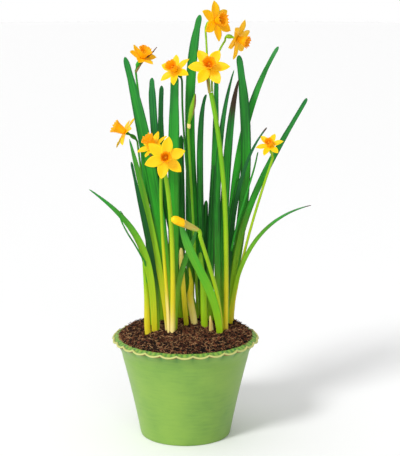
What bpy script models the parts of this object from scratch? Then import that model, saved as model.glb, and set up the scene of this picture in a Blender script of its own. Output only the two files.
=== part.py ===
"""Potted miniature daffodils.

Six bulbs are planted in a mound of peat in a glazed pot with a scalloped lip. Their strap leaves,
flower stems, flowers and buds come up through the peat. Metres, +Z up: the pot stands on z = 0,
its axis is the Z axis, and -Y is the front. Places along the leaves and stems are in millimetres.
"""
from math import cos, hypot, pi, radians, sin

import bmesh
import bpy
from mathutils import Vector

MM = 0.001
UP = Vector((0.0, 0.0, 1.0))
FIT_GAP = 0.0003                # clearance between pieces that touch

# ---- pot -------------------------------------------------------------------------------------
POT_HEIGHT = 0.100
POT_FOOT_RADIUS = 0.0465
POT_BODY_RADIUS = 0.0640        # under the lip
POT_WALL = 0.0040
POT_FLOOR = 0.0060
BODY_HOLLOW = 0.18              # how far the body is drawn in, as a share of its spread
POT_EDGE_ROUND = 0.0020         # round of the foot's edge
LIP_FLARE = 0.0110              # how far the lip stands out from the body
LIP_DEPTH = 0.0170              # from the top of the lip down to the top of the body
FLARE_CURVE = 1.6               # above 1, the flare opens out towards its edge
LIP_EDGE = 0.0036               # thickness of the lip's rolled edge
SCALLOPS = 28
STEPS_PER_SCALLOP = 4
SCALLOP_DEPTH = 0.0055          # how far down the lip the scallops reach
SCALLOP_IN = 0.0013             # how far the notches between scallops are drawn in
SCALLOP_DROOP = 0.0012          # how far the scallops hang below the notches

# ---- peat and bulbs --------------------------------------------------------------------------
MOUND_HEIGHT = 0.0100           # crown of the mound above the top of the lip
MOUND_SHOULDER_IN = 0.0040      # from the body's radius in to where the mound starts to fall
MOUND_RIM_GAP = 0.0012          # between the peat's edge and the notches of the lip
MOUND_STEPS = 48
BULB_RADIUS = 0.0095
BULB_HEIGHT = 0.0260
BULB_DEPTH = 0.0240             # from the mound's crown down to a bulb's nose
BULB_STEPS = 12
NECK_GAP = 0.0032               # between a bulb's shoots and the shaft they come up through
BULB_WAIST = 0.36               # height of a bulb's widest place, as a share of its own height
BULB_PLACES = {                 # across and back, in shares of the room that a bulb has
    "bulb_left": (-0.773, -0.380),
    "bulb_front": (-0.244, -0.420),
    "bulb_left_back": (-0.732, 0.339),
    "bulb_centre": (0.339, 0.380),
    "bulb_right": (0.800, -0.312),
    "bulb_right_back": (0.936, 0.271),
}

# ---- shoots ----------------------------------------------------------------------------------
TABLE_CROWN = 0.110             # crown of the peat and radius of the body that the tables of
TABLE_BODY_RADIUS = 0.064       # leaves, stems, flowers and buds are set out for
SHOOT_GAP = 0.0009              # between neighbouring shoots where they leave a bulb
LEAF_THICKNESS = 0.0010
LEAF_ROWS = 11
LEAF_ROW_CROWDING = 1.35        # rows stand closer together towards the tip
LEAF_FOOT_SHARE = 0.62          # width at the foot, as a share of the full width
LEAF_TIP_SHARE = 0.16           # width at the tip, as a share of the full width
LEAF_BLUNTNESS = 0.60           # below 1, the blade stays broad and then rounds off at its tip
LEAF_CHANNEL = 0.10             # depth of a leaf's channel, as a share of its width
STEM_POINTS = 9                 # along a stem, and then along its elbow
ELBOW_POINTS = 4
ELBOW_DROP = 0.006
SCAPE_RADIUS = 0.0023
STEM_RADIUS = 0.0013
PEDICEL_RADIUS = 0.0010
OVARY_RADIUS = 0.0021
TUBE_LENGTH = 0.0140            # from the elbow to the back of the petals

# ---- flowers and buds ------------------------------------------------------------------------
PETAL_THICKNESS = 0.0006
PETAL_STEPS = 4                 # around each of the six petals
PETAL_RINGS = 3
PETAL_NOTCH = 0.42              # radius between two petals, as a share of their length
CORONA_WALL = 0.0006
CORONA_FOOT = 0.0026
CORONA_STEPS = 12
BUD_STEPS = 10

# One row for each leaf: bulb, foot to the side of its bulb, rise of the first handle, second
# handle, tip, full width (all in millimetres), how far the blade turns, in degrees, and the
# share of its length that tapers to the tip. Each bulb's leaves and stems stand in a row from
# front to back, in the order of its fan below.
LEAVES = {
    "leaf_01": ("bulb_front", -3, 80, (-34, -13, 296), (-58, -12, 385), 13.0, 12, 0.36),
    "leaf_02": ("bulb_front", -4, 93, (-33, -8, 319), (-32, -4, 364), 7.5, -12, 0.14),
    "leaf_03": ("bulb_centre", -2, 66, (-32, 5, 200), (-23, 8, 355), 7.5, 8, 0.20),
    "leaf_04": ("bulb_front", 0, 94, (-12, 2, 307), (-10, 8, 367), 11.0, 10, 0.30),
    "leaf_05": ("bulb_centre", -1, 112, (-8, 22, 335), (15, 26, 423), 9.5, -8, 0.15),
    "leaf_06": ("bulb_centre", 3, 87, (8, 12, 320), (21, 10, 346), 6.5, 12, 0.40),
    "leaf_07": ("bulb_centre", 5, 96, (32, 20, 243), (31, 22, 373), 6.5, -8, 0.25),
    "leaf_08": ("bulb_right", -4, 96, (23, -6, 290), (48, -6, 372), 7.0, 10, 0.55),
    "leaf_09": ("bulb_right", -1, 92, (39, 4, 315), (53, 4, 362), 8.5, -14, 0.45),
    "leaf_10": ("bulb_right_back", 1, 100, (74, 13, 245), (53, 18, 384), 10.0, 6, 0.15),
    "leaf_11": ("bulb_right_back", 1, 103, (40, 22, 305), (93, 34, 391), 7.5, -16, 0.30),
    "leaf_12": ("bulb_right_back", 1, 130, (70, 8, 254), (120, 4, 343), 6.5, 10, 0.30),
    "leaf_13": ("bulb_right_back", -1, 88, (42, -2, 268), (81, 4, 314), 4.5, -20, 0.50),
    "leaf_14": ("bulb_front", -5, 60, (-37, -17, 239), (-54, -20, 306), 6.5, 12, 0.30),
    "leaf_15": ("bulb_left", 9, 100, (-37, -24, 205), (-52, -29, 285), 6.0, 30, 0.40),
    "leaf_16": ("bulb_left", 6, 100, (-37, -38, 219), (-92, -46, 261), 8.0, 25, 0.75),
    "leaf_17": ("bulb_left_back", -3, 100, (-44, 16, 190), (-65, 14, 228), 3.5, 25, 0.60),
    "leaf_18": ("bulb_right_back", 0, 88, (71, -6, 225), (125, -8, 238), 4.5, -15, 0.70),
    "leaf_19": ("bulb_right", -2, 76, (7, -38, 176), (-5, -36, 230), 9.0, -10, 0.25),
    "leaf_20": ("bulb_front", 1, 90, (-1, -17, 176), (13, -14, 219), 5.5, 12, 0.35),
}

# One row for each flower: centre of its petals, the way it faces and how far it is turned round
# that line, in degrees, petal length, how far the petal tips stand forward of the centre, and
# the corona's length and mouth radius.
FLOWERS = {
    "flower_top_left": ((30, -6, 419), (0.70, -0.68, 0.22), 28, 20.0, 1.0, 11.5, 6.6),
    "flower_top_right": ((51, -6, 402), (0.85, -0.46, -0.25), 20, 20.0, 2.0, 12.0, 5.8),
    "flower_centre": ((23.5, -20, 376), (0.00, -0.85, 0.53), 0, 20.5, 0.5, 11.5, 6.4),
    "flower_left_centre": ((-9, -12, 372), (-0.45, -0.70, 0.56), 46, 17.5, 1.0, 11.5, 6.0),
    "flower_upper_left": ((-42, -6, 384), (0.42, -0.50, 0.76), 42, 14.5, 4.0, 10.5, 6.8),
    "flower_left": ((-59, 6, 309), (-0.85, -0.15, 0.50), 21, 18.5, -1.0, 13.5, 6.8),
    "flower_front": ((-18.5, -60, 294), (0.12, -0.97, 0.22), 18, 20.5, 0.5, 10.0, 5.6),
    "flower_behind": ((-30, -34, 301), (-0.52, -0.40, 0.75), 50, 17.0, 3.0, 12.0, 6.4),
    "flower_right": ((83, -14, 299), (-0.22, -0.68, 0.70), 18, 14.0, 1.0, 7.5, 4.2),
}

# One row for each stem: bulb, foot to the side of its bulb, rise of the first handle, second
# handle, radius, and the flower it carries.
STEMS = {
    "stem_left_centre": ("bulb_centre", -2, 80, (-4, 2, 300), STEM_RADIUS, "flower_left_centre"),
    "stem_upper_left": ("bulb_left_back", 1, 90, (-38, 4, 290), STEM_RADIUS, "flower_upper_left"),
    "stem_left": ("bulb_left_back", 0, 60, (-40, 10, 240), STEM_RADIUS, "flower_left"),
    "stem_front": ("bulb_front", -1, 60, (-9, -26, 222), SCAPE_RADIUS, "flower_front"),
    "stem_behind": ("bulb_front", -4, 60, (-26, -26, 220), STEM_RADIUS, "flower_behind"),
    "stem_right": ("bulb_right_back", 1, 50, (64, 0, 215), 0.0016, "flower_right"),
}

# The three upper flowers share a scape: its foot, handles and top. Each pedicel has its foot on
# the scape's top, to the side and back of the axis, its rise and handle, and its flower.
TRIO_STEM = ("bulb_right", 3, 100, (44, -18, 260), (25.5, -9, 350))
TRIO_PEDICELS = {
    "pedicel_top_left": ((-1.0, 1.3), 12, (22, 4, 385), "flower_top_left"),
    "pedicel_top_right": ((1.6, 0.3), 12, (29, 2, 385), "flower_top_right"),
    "pedicel_centre": ((-0.6, -1.4), 4, (24, -10, 357), "flower_centre"),
}

# One row for each bud: its base and tip, radius, and its stem's bulb, foot, rise and handle.
BUDS = {
    "bud_nodding": ((12, -44, 221), (-13, -52, 234), 4.4, "bulb_right", -1, 60, (30, -30, 160)),
    "bud_upright": ((4, -3, 319), (10, -5, 349), 2.6, "bulb_centre", -3, 60, (6, -2, 250)),
}

FANS = {                        # each bulb's shoots, from front to back
    "bulb_left": ("leaf_16", "leaf_15"),
    "bulb_front": ("stem_front", "stem_behind", "leaf_20", "leaf_14", "leaf_01", "leaf_02",
                   "leaf_04"),
    "bulb_left_back": ("stem_left", "stem_upper_left", "leaf_17"),
    "bulb_centre": ("leaf_03", "stem_bud_upright", "stem_left_centre", "leaf_06", "leaf_05",
                    "leaf_07"),
    "bulb_right": ("leaf_19", "stem_bud_nodding", "scape_trio", "leaf_08", "leaf_09"),
    "bulb_right_back": ("leaf_13", "leaf_18", "stem_right", "leaf_12", "leaf_10", "leaf_11"),
}

# ---- colours: base colour, roughness, metallic -------------------------------------------------
FINISHES = {
    "glaze": ((0.23, 0.47, 0.11), 0.25, 0.0),
    "peat": ((0.045, 0.022, 0.012), 0.95, 0.0),
    "bulb_skin": ((0.30, 0.15, 0.06), 0.70, 0.0),
    "leaf": ((0.03, 0.22, 0.04), 0.45, 0.0),
    "stem": ((0.30, 0.42, 0.03), 0.45, 0.0),
    "petal": ((0.95, 0.55, 0.01), 0.50, 0.0),
    "corona": ((0.90, 0.22, 0.01), 0.50, 0.0),
    "bud": ((0.45, 0.50, 0.05), 0.50, 0.0),
}


# ---- shared tools ----------------------------------------------------------------------------
def mm(point):
    """A point or vector given in millimetres."""
    return Vector(point) * MM


def planted(point):
    """A point of the tables, moved with the crown of the peat and spread with the pot."""
    x, y, z = point
    spread = POT_BODY_RADIUS / TABLE_BODY_RADIUS
    return mm((x * spread, y * spread, z)) + UP * (mound_crown() - TABLE_CROWN)


def clear_scene():
    for obj in list(bpy.data.objects):
        bpy.data.objects.remove(obj, do_unlink=True)


def make_collections():
    parts = bpy.data.collections.new("potted_daffodil")
    cutters = bpy.data.collections.new("cutters")
    for collection in (parts, cutters):
        bpy.context.scene.collection.children.link(collection)
    return parts, cutters


def make_materials():
    materials = {}
    for name, (colour, roughness, metallic) in FINISHES.items():
        material = bpy.data.materials.new(name)
        material.use_nodes = True
        shader = material.node_tree.nodes["Principled BSDF"]
        shader.inputs["Base Color"].default_value = (*colour, 1.0)
        shader.inputs["Roughness"].default_value = roughness
        shader.inputs["Metallic"].default_value = metallic
        materials[name] = material
    return materials


def add_object(name, data, collection, material=None):
    obj = bpy.data.objects.new(name, data)
    collection.objects.link(obj)
    if material:
        data.materials.append(material)
    return obj


def turned(name, profile, steps, collection, material=None):
    """A turned solid. The profile's points are (radius, height), up the inside, down the outside."""
    mesh = bpy.data.meshes.new(name)
    points = [(radius, 0.0, height) for radius, height in profile]
    mesh.from_pydata(points, [(i, i + 1) for i in range(len(points) - 1)], [])
    obj = add_object(name, mesh, collection, material)
    screw = obj.modifiers.new("turn", "SCREW")
    screw.steps = steps
    screw.render_steps = steps
    screw.use_merge_vertices = True
    screw.merge_threshold = 0.00001
    return obj


def solidify(obj, thickness):
    shell = obj.modifiers.new("thickness", "SOLIDIFY")
    shell.thickness = thickness
    shell.offset = 0.0


def bake_modifiers(obj):
    """Replace the object's mesh by its evaluated one."""
    graph = bpy.context.evaluated_depsgraph_get()
    mesh = bpy.data.meshes.new_from_object(obj.evaluated_get(graph))
    obj.modifiers.clear()
    obj.data = mesh


def shade(obj, angle=40):
    obj.data.shade_smooth()
    obj.data.set_sharp_from_angle(angle=radians(angle))


def face_along(obj, place, direction):
    """Stand an object at a place with its own Z axis along a direction."""
    obj.location = place
    obj.rotation_mode = "QUATERNION"
    obj.rotation_quaternion = direction.normalized().to_track_quat("Z", "Y")


def bezier(start, handle_a, handle_b, end, share):
    rest = 1.0 - share
    return (start * rest ** 3 + handle_a * (3 * rest * rest * share)
            + handle_b * (3 * rest * share * share) + end * share ** 3)


# ---- pot -------------------------------------------------------------------------------------
def body_radius(height):
    """Outer radius of the pot's body: nearly a cone, drawn in a little at the middle."""
    share = height / (POT_HEIGHT - LIP_DEPTH)
    spread = POT_BODY_RADIUS - POT_FOOT_RADIUS
    return POT_FOOT_RADIUS + spread * share * (1.0 - BODY_HOLLOW * (1.0 - share))


def lip_radius():
    return POT_BODY_RADIUS + LIP_FLARE


def flare_radius(height):
    """Outer radius of the lip, which flares from the body to its rolled edge."""
    body_top = POT_HEIGHT - LIP_DEPTH
    share = (height - body_top) / (LIP_DEPTH - 0.7 * LIP_EDGE)
    spread = LIP_FLARE - 0.5 * LIP_EDGE
    return POT_BODY_RADIUS + spread * share ** FLARE_CURVE


def inner_radius(height):
    body_top = POT_HEIGHT - LIP_DEPTH
    outer = flare_radius(height) if height > body_top else body_radius(height)
    return outer - POT_WALL


def flare_heights():
    """Heights of the flare's two bends; the peat meets the pot at the upper one."""
    body_top = POT_HEIGHT - LIP_DEPTH
    edge = POT_HEIGHT - SCALLOP_DEPTH
    return [0.5 * (body_top + edge), edge]


def pot_profile():
    body_top = POT_HEIGHT - LIP_DEPTH
    flare = flare_heights()
    edge_centre = (lip_radius() - LIP_EDGE / 2, POT_HEIGHT - LIP_EDGE / 2)
    profile = [(0.0, POT_FLOOR), (inner_radius(POT_FLOOR), POT_FLOOR)]
    profile += [(inner_radius(height), height) for height in (0.5 * body_top, body_top, *flare)]
    for angle in (150, 90, 30, -30, -90):
        turn = radians(angle)
        profile.append((edge_centre[0] + LIP_EDGE / 2 * cos(turn),
                        edge_centre[1] + LIP_EDGE / 2 * sin(turn)))
    profile += [(flare_radius(height), height) for height in reversed(flare)]
    profile += [(body_radius(height), height) for height in (body_top, 0.5 * body_top)]
    profile.append((body_radius(POT_EDGE_ROUND), POT_EDGE_ROUND))
    profile += [(POT_FOOT_RADIUS - 0.4 * POT_EDGE_ROUND, 0.0), (0.0, 0.0)]
    return profile


def scallop_lip(mesh):
    """Draw the lip in at the notches and let the scallops between them droop."""
    root = POT_HEIGHT - SCALLOP_DEPTH
    for vertex in mesh.vertices:
        weight = min(max((vertex.co.z - root) / (0.5 * SCALLOP_DEPTH), 0.0), 1.0)
        around = vertex.co.xy.angle_signed(Vector((1.0, 0.0))) if weight else 0.0
        lobe = abs(cos(around * SCALLOPS / 2))
        radius = vertex.co.xy.length
        if weight:
            vertex.co.xy *= 1.0 - weight * SCALLOP_IN * (1.0 - lobe) / radius
            vertex.co.z -= weight * SCALLOP_DROOP * lobe


def make_pot(parts, materials):
    steps = SCALLOPS * STEPS_PER_SCALLOP
    pot = turned("pot", pot_profile(), steps, parts, materials["glaze"])
    bake_modifiers(pot)
    scallop_lip(pot.data)
    shade(pot)


# ---- peat and bulbs --------------------------------------------------------------------------
def mound_crown():
    return POT_HEIGHT + MOUND_HEIGHT


def mound_profile():
    """Outline of the peat, down from the crown: the mound, then the inside of the pot."""
    bend, edge = flare_heights()
    edge_radius = inner_radius(edge) - FIT_GAP
    shoulder = POT_HEIGHT + 0.75 * MOUND_HEIGHT
    shoulder_radius = POT_BODY_RADIUS - MOUND_SHOULDER_IN
    rim_radius = lip_radius() - LIP_EDGE - SCALLOP_IN - MOUND_RIM_GAP
    middle = (0.5 * (shoulder_radius + rim_radius), POT_HEIGHT + 0.45 * MOUND_HEIGHT)
    rim = (rim_radius, POT_HEIGHT - LIP_EDGE / 2)
    body_top = POT_HEIGHT - LIP_DEPTH
    profile = [(0.0, mound_crown()), (0.5 * shoulder_radius, mound_crown() - 0.0004)]
    profile += [(shoulder_radius, shoulder), middle, rim, (edge_radius, edge)]
    profile += [(inner_radius(z) - FIT_GAP, z) for z in (bend, body_top, 0.5 * body_top)]
    bottom = POT_FLOOR + FIT_GAP
    profile += [(inner_radius(bottom) - FIT_GAP, bottom), (0.0, bottom)]
    return profile


def bulb_place(name):
    """Where a bulb stands: a share of the way from the pot's axis to touching its wall."""
    across, back = BULB_PLACES[name]
    waist = nose_height() - (1.0 - BULB_WAIST) * BULB_HEIGHT
    room = inner_radius(waist) - BULB_RADIUS
    return Vector((across * room, back * room, 0.0))


def nose_height():
    return mound_crown() - BULB_DEPTH


def bulb_profile(grow=0.0):
    """Outline of a bulb down from its nose, or of the peat's pocket round it."""
    shares = ((0.0, 1.0), (0.30, 0.93), (0.62, 0.78), (0.92, 0.55), (1.0, BULB_WAIST), (0.80, 0.12),
              (0.45, 0.0))
    bottom = nose_height() - BULB_HEIGHT
    profile = []
    for across, up in shares:
        profile.append((across * BULB_RADIUS + (grow if across else 0.0),
                        bottom + up * BULB_HEIGHT + (grow if up > 0.5 else -grow)))
    profile.append((0.0, profile[-1][1]))
    return profile


def neck_radius(name):
    """Radius of the shaft round a bulb's shoots: it clears the corner of each one's foot."""
    reach = 0.0
    for shoot, back in fan_places(name):
        half = 0.5 * shoot_depth(shoot)
        if shoot in LEAVES:
            half_width = 0.5 * LEAF_FOOT_SHARE * LEAVES[shoot][5] * MM
        else:
            half_width = half
        across = abs(shoot_side(shoot)) * MM + half_width
        reach = max(reach, hypot(across, abs(back) + half))
    return max(reach + NECK_GAP, BULB_RADIUS + FIT_GAP)


def shaft_profile(name):
    """Cutter for one bulb: a shaft down to the bulb's waist, and a pocket for its lower half."""
    waist = nose_height() - 0.55 * BULB_HEIGHT
    top = mound_crown() + 0.01
    shaft = neck_radius(name)
    lower = [point for point in bulb_profile(FIT_GAP) if point[1] < waist]
    return [(0.0, top), (shaft, top), (shaft, waist)] + lower


def make_soil(parts, cutters, materials):
    soil = turned("soil", mound_profile(), MOUND_STEPS, parts, materials["peat"])
    for name in BULB_PLACES:
        cutter = turned("pocket_" + name, shaft_profile(name), BULB_STEPS, cutters)
        cutter.location = bulb_place(name)
        cutter.display_type = "WIRE"
        cutter.hide_render = True
        cut = soil.modifiers.new("cut_" + name, "BOOLEAN")
        cut.operation = "DIFFERENCE"
        cut.object = cutter
    shade(soil)


def make_bulbs(parts, materials):
    for name in BULB_PLACES:
        bulb = turned(name, bulb_profile(), BULB_STEPS, parts, materials["bulb_skin"])
        bulb.location = bulb_place(name)
        shade(bulb)


# ---- feet of the shoots ----------------------------------------------------------------------
def shoot_depth(name):
    if name in LEAVES:
        return LEAF_THICKNESS
    if name in STEMS:
        return 2 * STEMS[name][4]
    return 2 * (SCAPE_RADIUS if name == "scape_trio" else STEM_RADIUS)


def shoot_side(name):
    """How far a shoot's foot stands to the side of its bulb, in millimetres."""
    if name in LEAVES:
        return LEAVES[name][1]
    if name in STEMS:
        return STEMS[name][1]
    if name == "scape_trio":
        return TRIO_STEM[1]
    return BUDS[name.removeprefix("stem_")][4]


def fan_places(bulb):
    """Each shoot of a bulb, and how far behind the bulb's axis it stands."""
    fan = FANS[bulb]
    back = -0.5 * (sum(shoot_depth(name) for name in fan) + SHOOT_GAP * (len(fan) - 1))
    places = []
    for name in fan:
        places.append((name, back + shoot_depth(name) / 2))
        back += shoot_depth(name) + SHOOT_GAP
    return places


def lay_feet():
    """Stand each bulb's shoots in a row from front to back, just above the bulb's nose."""
    feet = {}
    for bulb in FANS:
        place = bulb_place(bulb)
        for name, back in fan_places(bulb):
            feet[name] = Vector((place.x + shoot_side(name) * MM, place.y + back,
                                 nose_height() + 2 * FIT_GAP))
    return feet


# ---- leaves ----------------------------------------------------------------------------------
def leaf_width(share, taper):
    """Width along a leaf as a share of its full width: narrow foot, long blade, tapered tip."""
    foot = LEAF_FOOT_SHARE + (1.0 - LEAF_FOOT_SHARE) * min(share / 0.45, 1.0)
    tip = min((1.0 - share) / taper, 1.0)
    return max(foot * sin(0.5 * pi * tip) ** LEAF_BLUNTNESS, LEAF_TIP_SHARE)


def make_leaf(name, foot, parts, materials):
    _, _, rise, bend, tip, width, turn, taper = LEAVES[name]
    start, handle_a = foot, foot + UP * rise * MM
    handle_b, end = planted(bend), planted(tip)
    mesh = bmesh.new()
    rows = []
    for row in range(LEAF_ROWS + 1):
        share = 1.0 - (1.0 - row / LEAF_ROWS) ** LEAF_ROW_CROWDING
        centre = bezier(start, handle_a, handle_b, end, share)
        ahead = bezier(start, handle_a, handle_b, end, share + 0.01)
        along = (ahead - centre).normalized()
        angle = radians(turn) * share
        side = Vector((cos(angle), sin(angle), 0.0))
        side = (side - along * side.dot(along)).normalized()
        back = along.cross(side)
        half = 0.5 * width * MM * leaf_width(share, taper)
        channel = back * (2 * half * LEAF_CHANNEL * min(share * 3, 1.0))
        rows.append([mesh.verts.new(point) for point in
                     (centre - side * half - channel, centre, centre + side * half - channel)])
    for low, high in zip(rows, rows[1:]):
        for i in range(2):
            mesh.faces.new((low[i], low[i + 1], high[i + 1], high[i]))
    data = bpy.data.meshes.new(name)
    mesh.to_mesh(data)
    mesh.free()
    leaf = add_object(name, data, parts, materials["leaf"])
    solidify(leaf, LEAF_THICKNESS)
    shade(leaf)


# ---- stems -----------------------------------------------------------------------------------
def make_tube(name, points, radii, parts, material):
    curve = bpy.data.curves.new(name, "CURVE")
    curve.dimensions = "3D"
    curve.bevel_depth = 1.0
    curve.bevel_resolution = 2
    curve.use_fill_caps = True
    spline = curve.splines.new("POLY")
    spline.points.add(len(points) - 1)
    for knot, point, radius in zip(spline.points, points, radii):
        knot.co = (*point, 1.0)
        knot.radius = radius
    add_object(name, curve, parts, material)


def stem_route(foot, handle_a, handle_b, elbow_foot):
    return [bezier(foot, handle_a, handle_b, elbow_foot, i / STEM_POINTS)
            for i in range(STEM_POINTS + 1)]


def flower_stem(name, foot, handle_a, handle_b, radius, flower, parts, materials):
    """A stem from its foot to a flower: up to an elbow, round it, then the ovary and tube."""
    centre, facing = planted(FLOWERS[flower][0]), Vector(FLOWERS[flower][1]).normalized()
    end = centre - facing * (PETAL_THICKNESS / 2 + FIT_GAP)
    elbow = centre - facing * TUBE_LENGTH
    elbow_foot = elbow - UP * ELBOW_DROP
    points = stem_route(foot, handle_a, handle_b, elbow_foot)
    top = max(0.75 * radius, PEDICEL_RADIUS)
    radii = [radius + (top - radius) * (i / STEM_POINTS) for i in range(STEM_POINTS + 1)]
    for i in range(1, ELBOW_POINTS + 1):
        share = i / ELBOW_POINTS
        points.append(bezier(elbow_foot, elbow, elbow.lerp(end, 0.3), end, share))
        radii.append(OVARY_RADIUS if i == 2 else top)
    make_tube(name, points, radii, parts, materials["stem"])


def make_stems(feet, parts, materials):
    for name, (_, _, rise, bend, radius, flower) in STEMS.items():
        foot = feet[name]
        flower_stem(name, foot, foot + UP * rise * MM, planted(bend), radius, flower, parts,
                    materials)


def make_trio(feet, parts, materials):
    """The scape of the three upper flowers, and the three pedicels on top of it."""
    _, _, rise, bend, top = TRIO_STEM
    foot = feet["scape_trio"]
    points = stem_route(foot, foot + UP * rise * MM, planted(bend), planted(top))
    radii = [SCAPE_RADIUS] * len(points)
    make_tube("scape_trio", points, radii, parts, materials["stem"])
    tangent = (points[-1] - points[-2]).normalized()
    for name, (place, rise, bend, flower) in TRIO_PEDICELS.items():
        out = mm((*place, 0.0))
        start = planted(top) + tangent * (2 * FIT_GAP - out.dot(tangent)) + out
        flower_stem(name, start, start + tangent * rise * MM, planted(bend), PEDICEL_RADIUS,
                    flower, parts, materials)


# ---- flowers ---------------------------------------------------------------------------------
def dish(radius, length, forward):
    """How far a petal's face stands forward of the flower's centre at a radius."""
    return forward * MM * (radius / length) ** 1.5


def make_petals(name, parts, materials):
    """Six petals, joined in a ring at the middle of the flower."""
    centre, facing, spin, length, forward, _, _ = FLOWERS[name]
    length *= MM
    mesh = bmesh.new()
    hub = mesh.verts.new((0.0, 0.0, 0.0))
    count = 6 * PETAL_STEPS
    rings = []
    for ring in range(1, PETAL_RINGS + 1):
        verts = []
        for i in range(count):
            turn = 2 * pi * i / count
            lobe = abs(cos(3 * turn)) ** 0.8
            turn += radians(spin)
            outer = length * (PETAL_NOTCH + (1.0 - PETAL_NOTCH) * lobe)
            radius = outer * ring / PETAL_RINGS
            height = dish(radius, length, forward)
            verts.append(mesh.verts.new((radius * cos(turn), radius * sin(turn), height)))
        rings.append(verts)
    for i in range(count):
        j = (i + 1) % count
        mesh.faces.new((hub, rings[0][i], rings[0][j]))
        for inner, outer in zip(rings, rings[1:]):
            mesh.faces.new((inner[i], outer[i], outer[j], inner[j]))
    data = bpy.data.meshes.new(name)
    mesh.to_mesh(data)
    mesh.free()
    petals = add_object(name.replace("flower", "petals"), data, parts, materials["petal"])
    solidify(petals, PETAL_THICKNESS)
    face_along(petals, planted(centre), Vector(facing))
    shade(petals)


def make_corona(name, parts, materials):
    """The trumpet in front of the petals."""
    centre, facing, _, petal_length, forward, length, mouth = FLOWERS[name]
    length, mouth = length * MM, mouth * MM
    foot_height = max(dish(CORONA_FOOT, petal_length * MM, forward), 0.0)
    foot_height += PETAL_THICKNESS / 2 + FIT_GAP
    wall = CORONA_WALL
    waist = 0.5 * (CORONA_FOOT + mouth) - 0.0002
    profile = [(0.0, foot_height + wall), (CORONA_FOOT - wall, foot_height + wall)]
    profile += [(waist - wall, foot_height + 0.55 * length), (mouth - wall, foot_height + length)]
    profile += [(mouth, foot_height + length), (waist, foot_height + 0.55 * length)]
    profile += [(CORONA_FOOT, foot_height), (0.0, foot_height)]
    name = name.replace("flower", "corona")
    corona = turned(name, profile, CORONA_STEPS, parts, materials["corona"])
    face_along(corona, planted(centre), Vector(facing))
    shade(corona)


# ---- buds ------------------------------------------------------------------------------------
def make_bud(name, feet, parts, materials):
    base, tip, radius, _, _, rise, bend = BUDS[name]
    base, tip = planted(base), planted(tip)
    length = (tip - base).length
    outline = ((0.0, 1.0), (0.50, 0.96), (0.95, 0.78), (1.0, 0.55), (0.6, 0.12), (0.45, 0.0))
    profile = [(across * radius * MM, up * length) for across, up in outline] + [(0.0, 0.0)]
    bud = turned(name, profile, BUD_STEPS, parts, materials["bud"])
    face_along(bud, base, tip - base)
    shade(bud)
    facing = (tip - base).normalized()
    end = base - facing * 2 * FIT_GAP
    elbow_foot = end - facing * ELBOW_DROP * 0.5 - UP * ELBOW_DROP
    foot = feet["stem_" + name]
    points = stem_route(foot, foot + UP * rise * MM, planted(bend), elbow_foot)
    points += [bezier(elbow_foot, elbow_foot + UP * ELBOW_DROP / 2, end - facing * ELBOW_DROP / 2,
                      end, i / ELBOW_POINTS) for i in range(1, ELBOW_POINTS + 1)]
    make_tube("stem_" + name, points, [STEM_RADIUS] * len(points), parts, materials["stem"])


def main():
    clear_scene()
    parts, cutters = make_collections()
    materials = make_materials()
    make_pot(parts, materials)
    make_soil(parts, cutters, materials)
    make_bulbs(parts, materials)
    feet = lay_feet()
    for name in LEAVES:
        make_leaf(name, feet[name], parts, materials)
    make_stems(feet, parts, materials)
    make_trio(feet, parts, materials)
    for name in FLOWERS:
        make_petals(name, parts, materials)
        make_corona(name, parts, materials)
    for name in BUDS:
        make_bud(name, feet, parts, materials)


main()
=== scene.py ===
"""Looks of a pot of miniature daffodils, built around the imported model.

The glazed pot, the peat, the leaves, the stems and the flowers are read from the frame and made
again with a fine surface. Metres, +Z up; -Y is the front.
"""

from math import cos, exp, pi, radians, sin

import bmesh
import bpy
import numpy as np
from mathutils import Matrix, Vector, noise


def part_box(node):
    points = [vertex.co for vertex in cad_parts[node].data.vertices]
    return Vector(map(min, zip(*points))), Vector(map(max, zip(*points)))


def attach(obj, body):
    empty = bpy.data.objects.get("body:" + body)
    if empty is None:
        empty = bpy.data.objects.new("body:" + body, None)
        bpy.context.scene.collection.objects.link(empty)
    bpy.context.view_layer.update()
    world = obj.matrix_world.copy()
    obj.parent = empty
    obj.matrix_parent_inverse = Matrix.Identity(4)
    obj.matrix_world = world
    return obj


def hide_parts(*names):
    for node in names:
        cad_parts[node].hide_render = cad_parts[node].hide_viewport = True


bl_info = {
    "name": "Potted Daffodils",
    "version": (1, 0, 0),
    "blender": (4, 5, 0),
    "location": "3D View > Sidebar > Daffodils",
    "description": "Builds a glazed pot of miniature daffodils around a fixed model",
    "category": "Object",
}

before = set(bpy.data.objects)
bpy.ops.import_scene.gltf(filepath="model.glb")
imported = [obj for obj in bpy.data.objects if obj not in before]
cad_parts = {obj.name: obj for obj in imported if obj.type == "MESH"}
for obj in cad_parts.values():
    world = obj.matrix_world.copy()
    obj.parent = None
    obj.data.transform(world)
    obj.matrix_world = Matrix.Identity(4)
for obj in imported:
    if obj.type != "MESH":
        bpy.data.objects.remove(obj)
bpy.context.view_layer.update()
MM = 0.001
BODY = "root"


def tint(red, green, blue):
    """A colour given in screen values, 0 to 255, as the linear values that shaders use."""
    values = []
    for value in (red, green, blue):
        share = value / 255
        values.append(share / 12.92 if share <= 0.04045 else ((share + 0.055) / 1.055) ** 2.4)
    return tuple(values)


# ---- settings --------------------------------------------------------------------------------
def colour(name, description, default):
    return bpy.props.FloatVectorProperty(name=name, description=description, default=default,
                                         subtype="COLOR", size=3, min=0.0, max=1.0)


def length(name, description, default):
    return bpy.props.FloatProperty(name=name, description=description, default=default,
                                   subtype="DISTANCE", unit="LENGTH", min=0.0, precision=5)


def number(name, description, default):
    return bpy.props.FloatProperty(name=name, description=description, default=default, min=0.0)


def count(name, description, default):
    return bpy.props.IntProperty(name=name, description=description, default=default, min=1)


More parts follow.
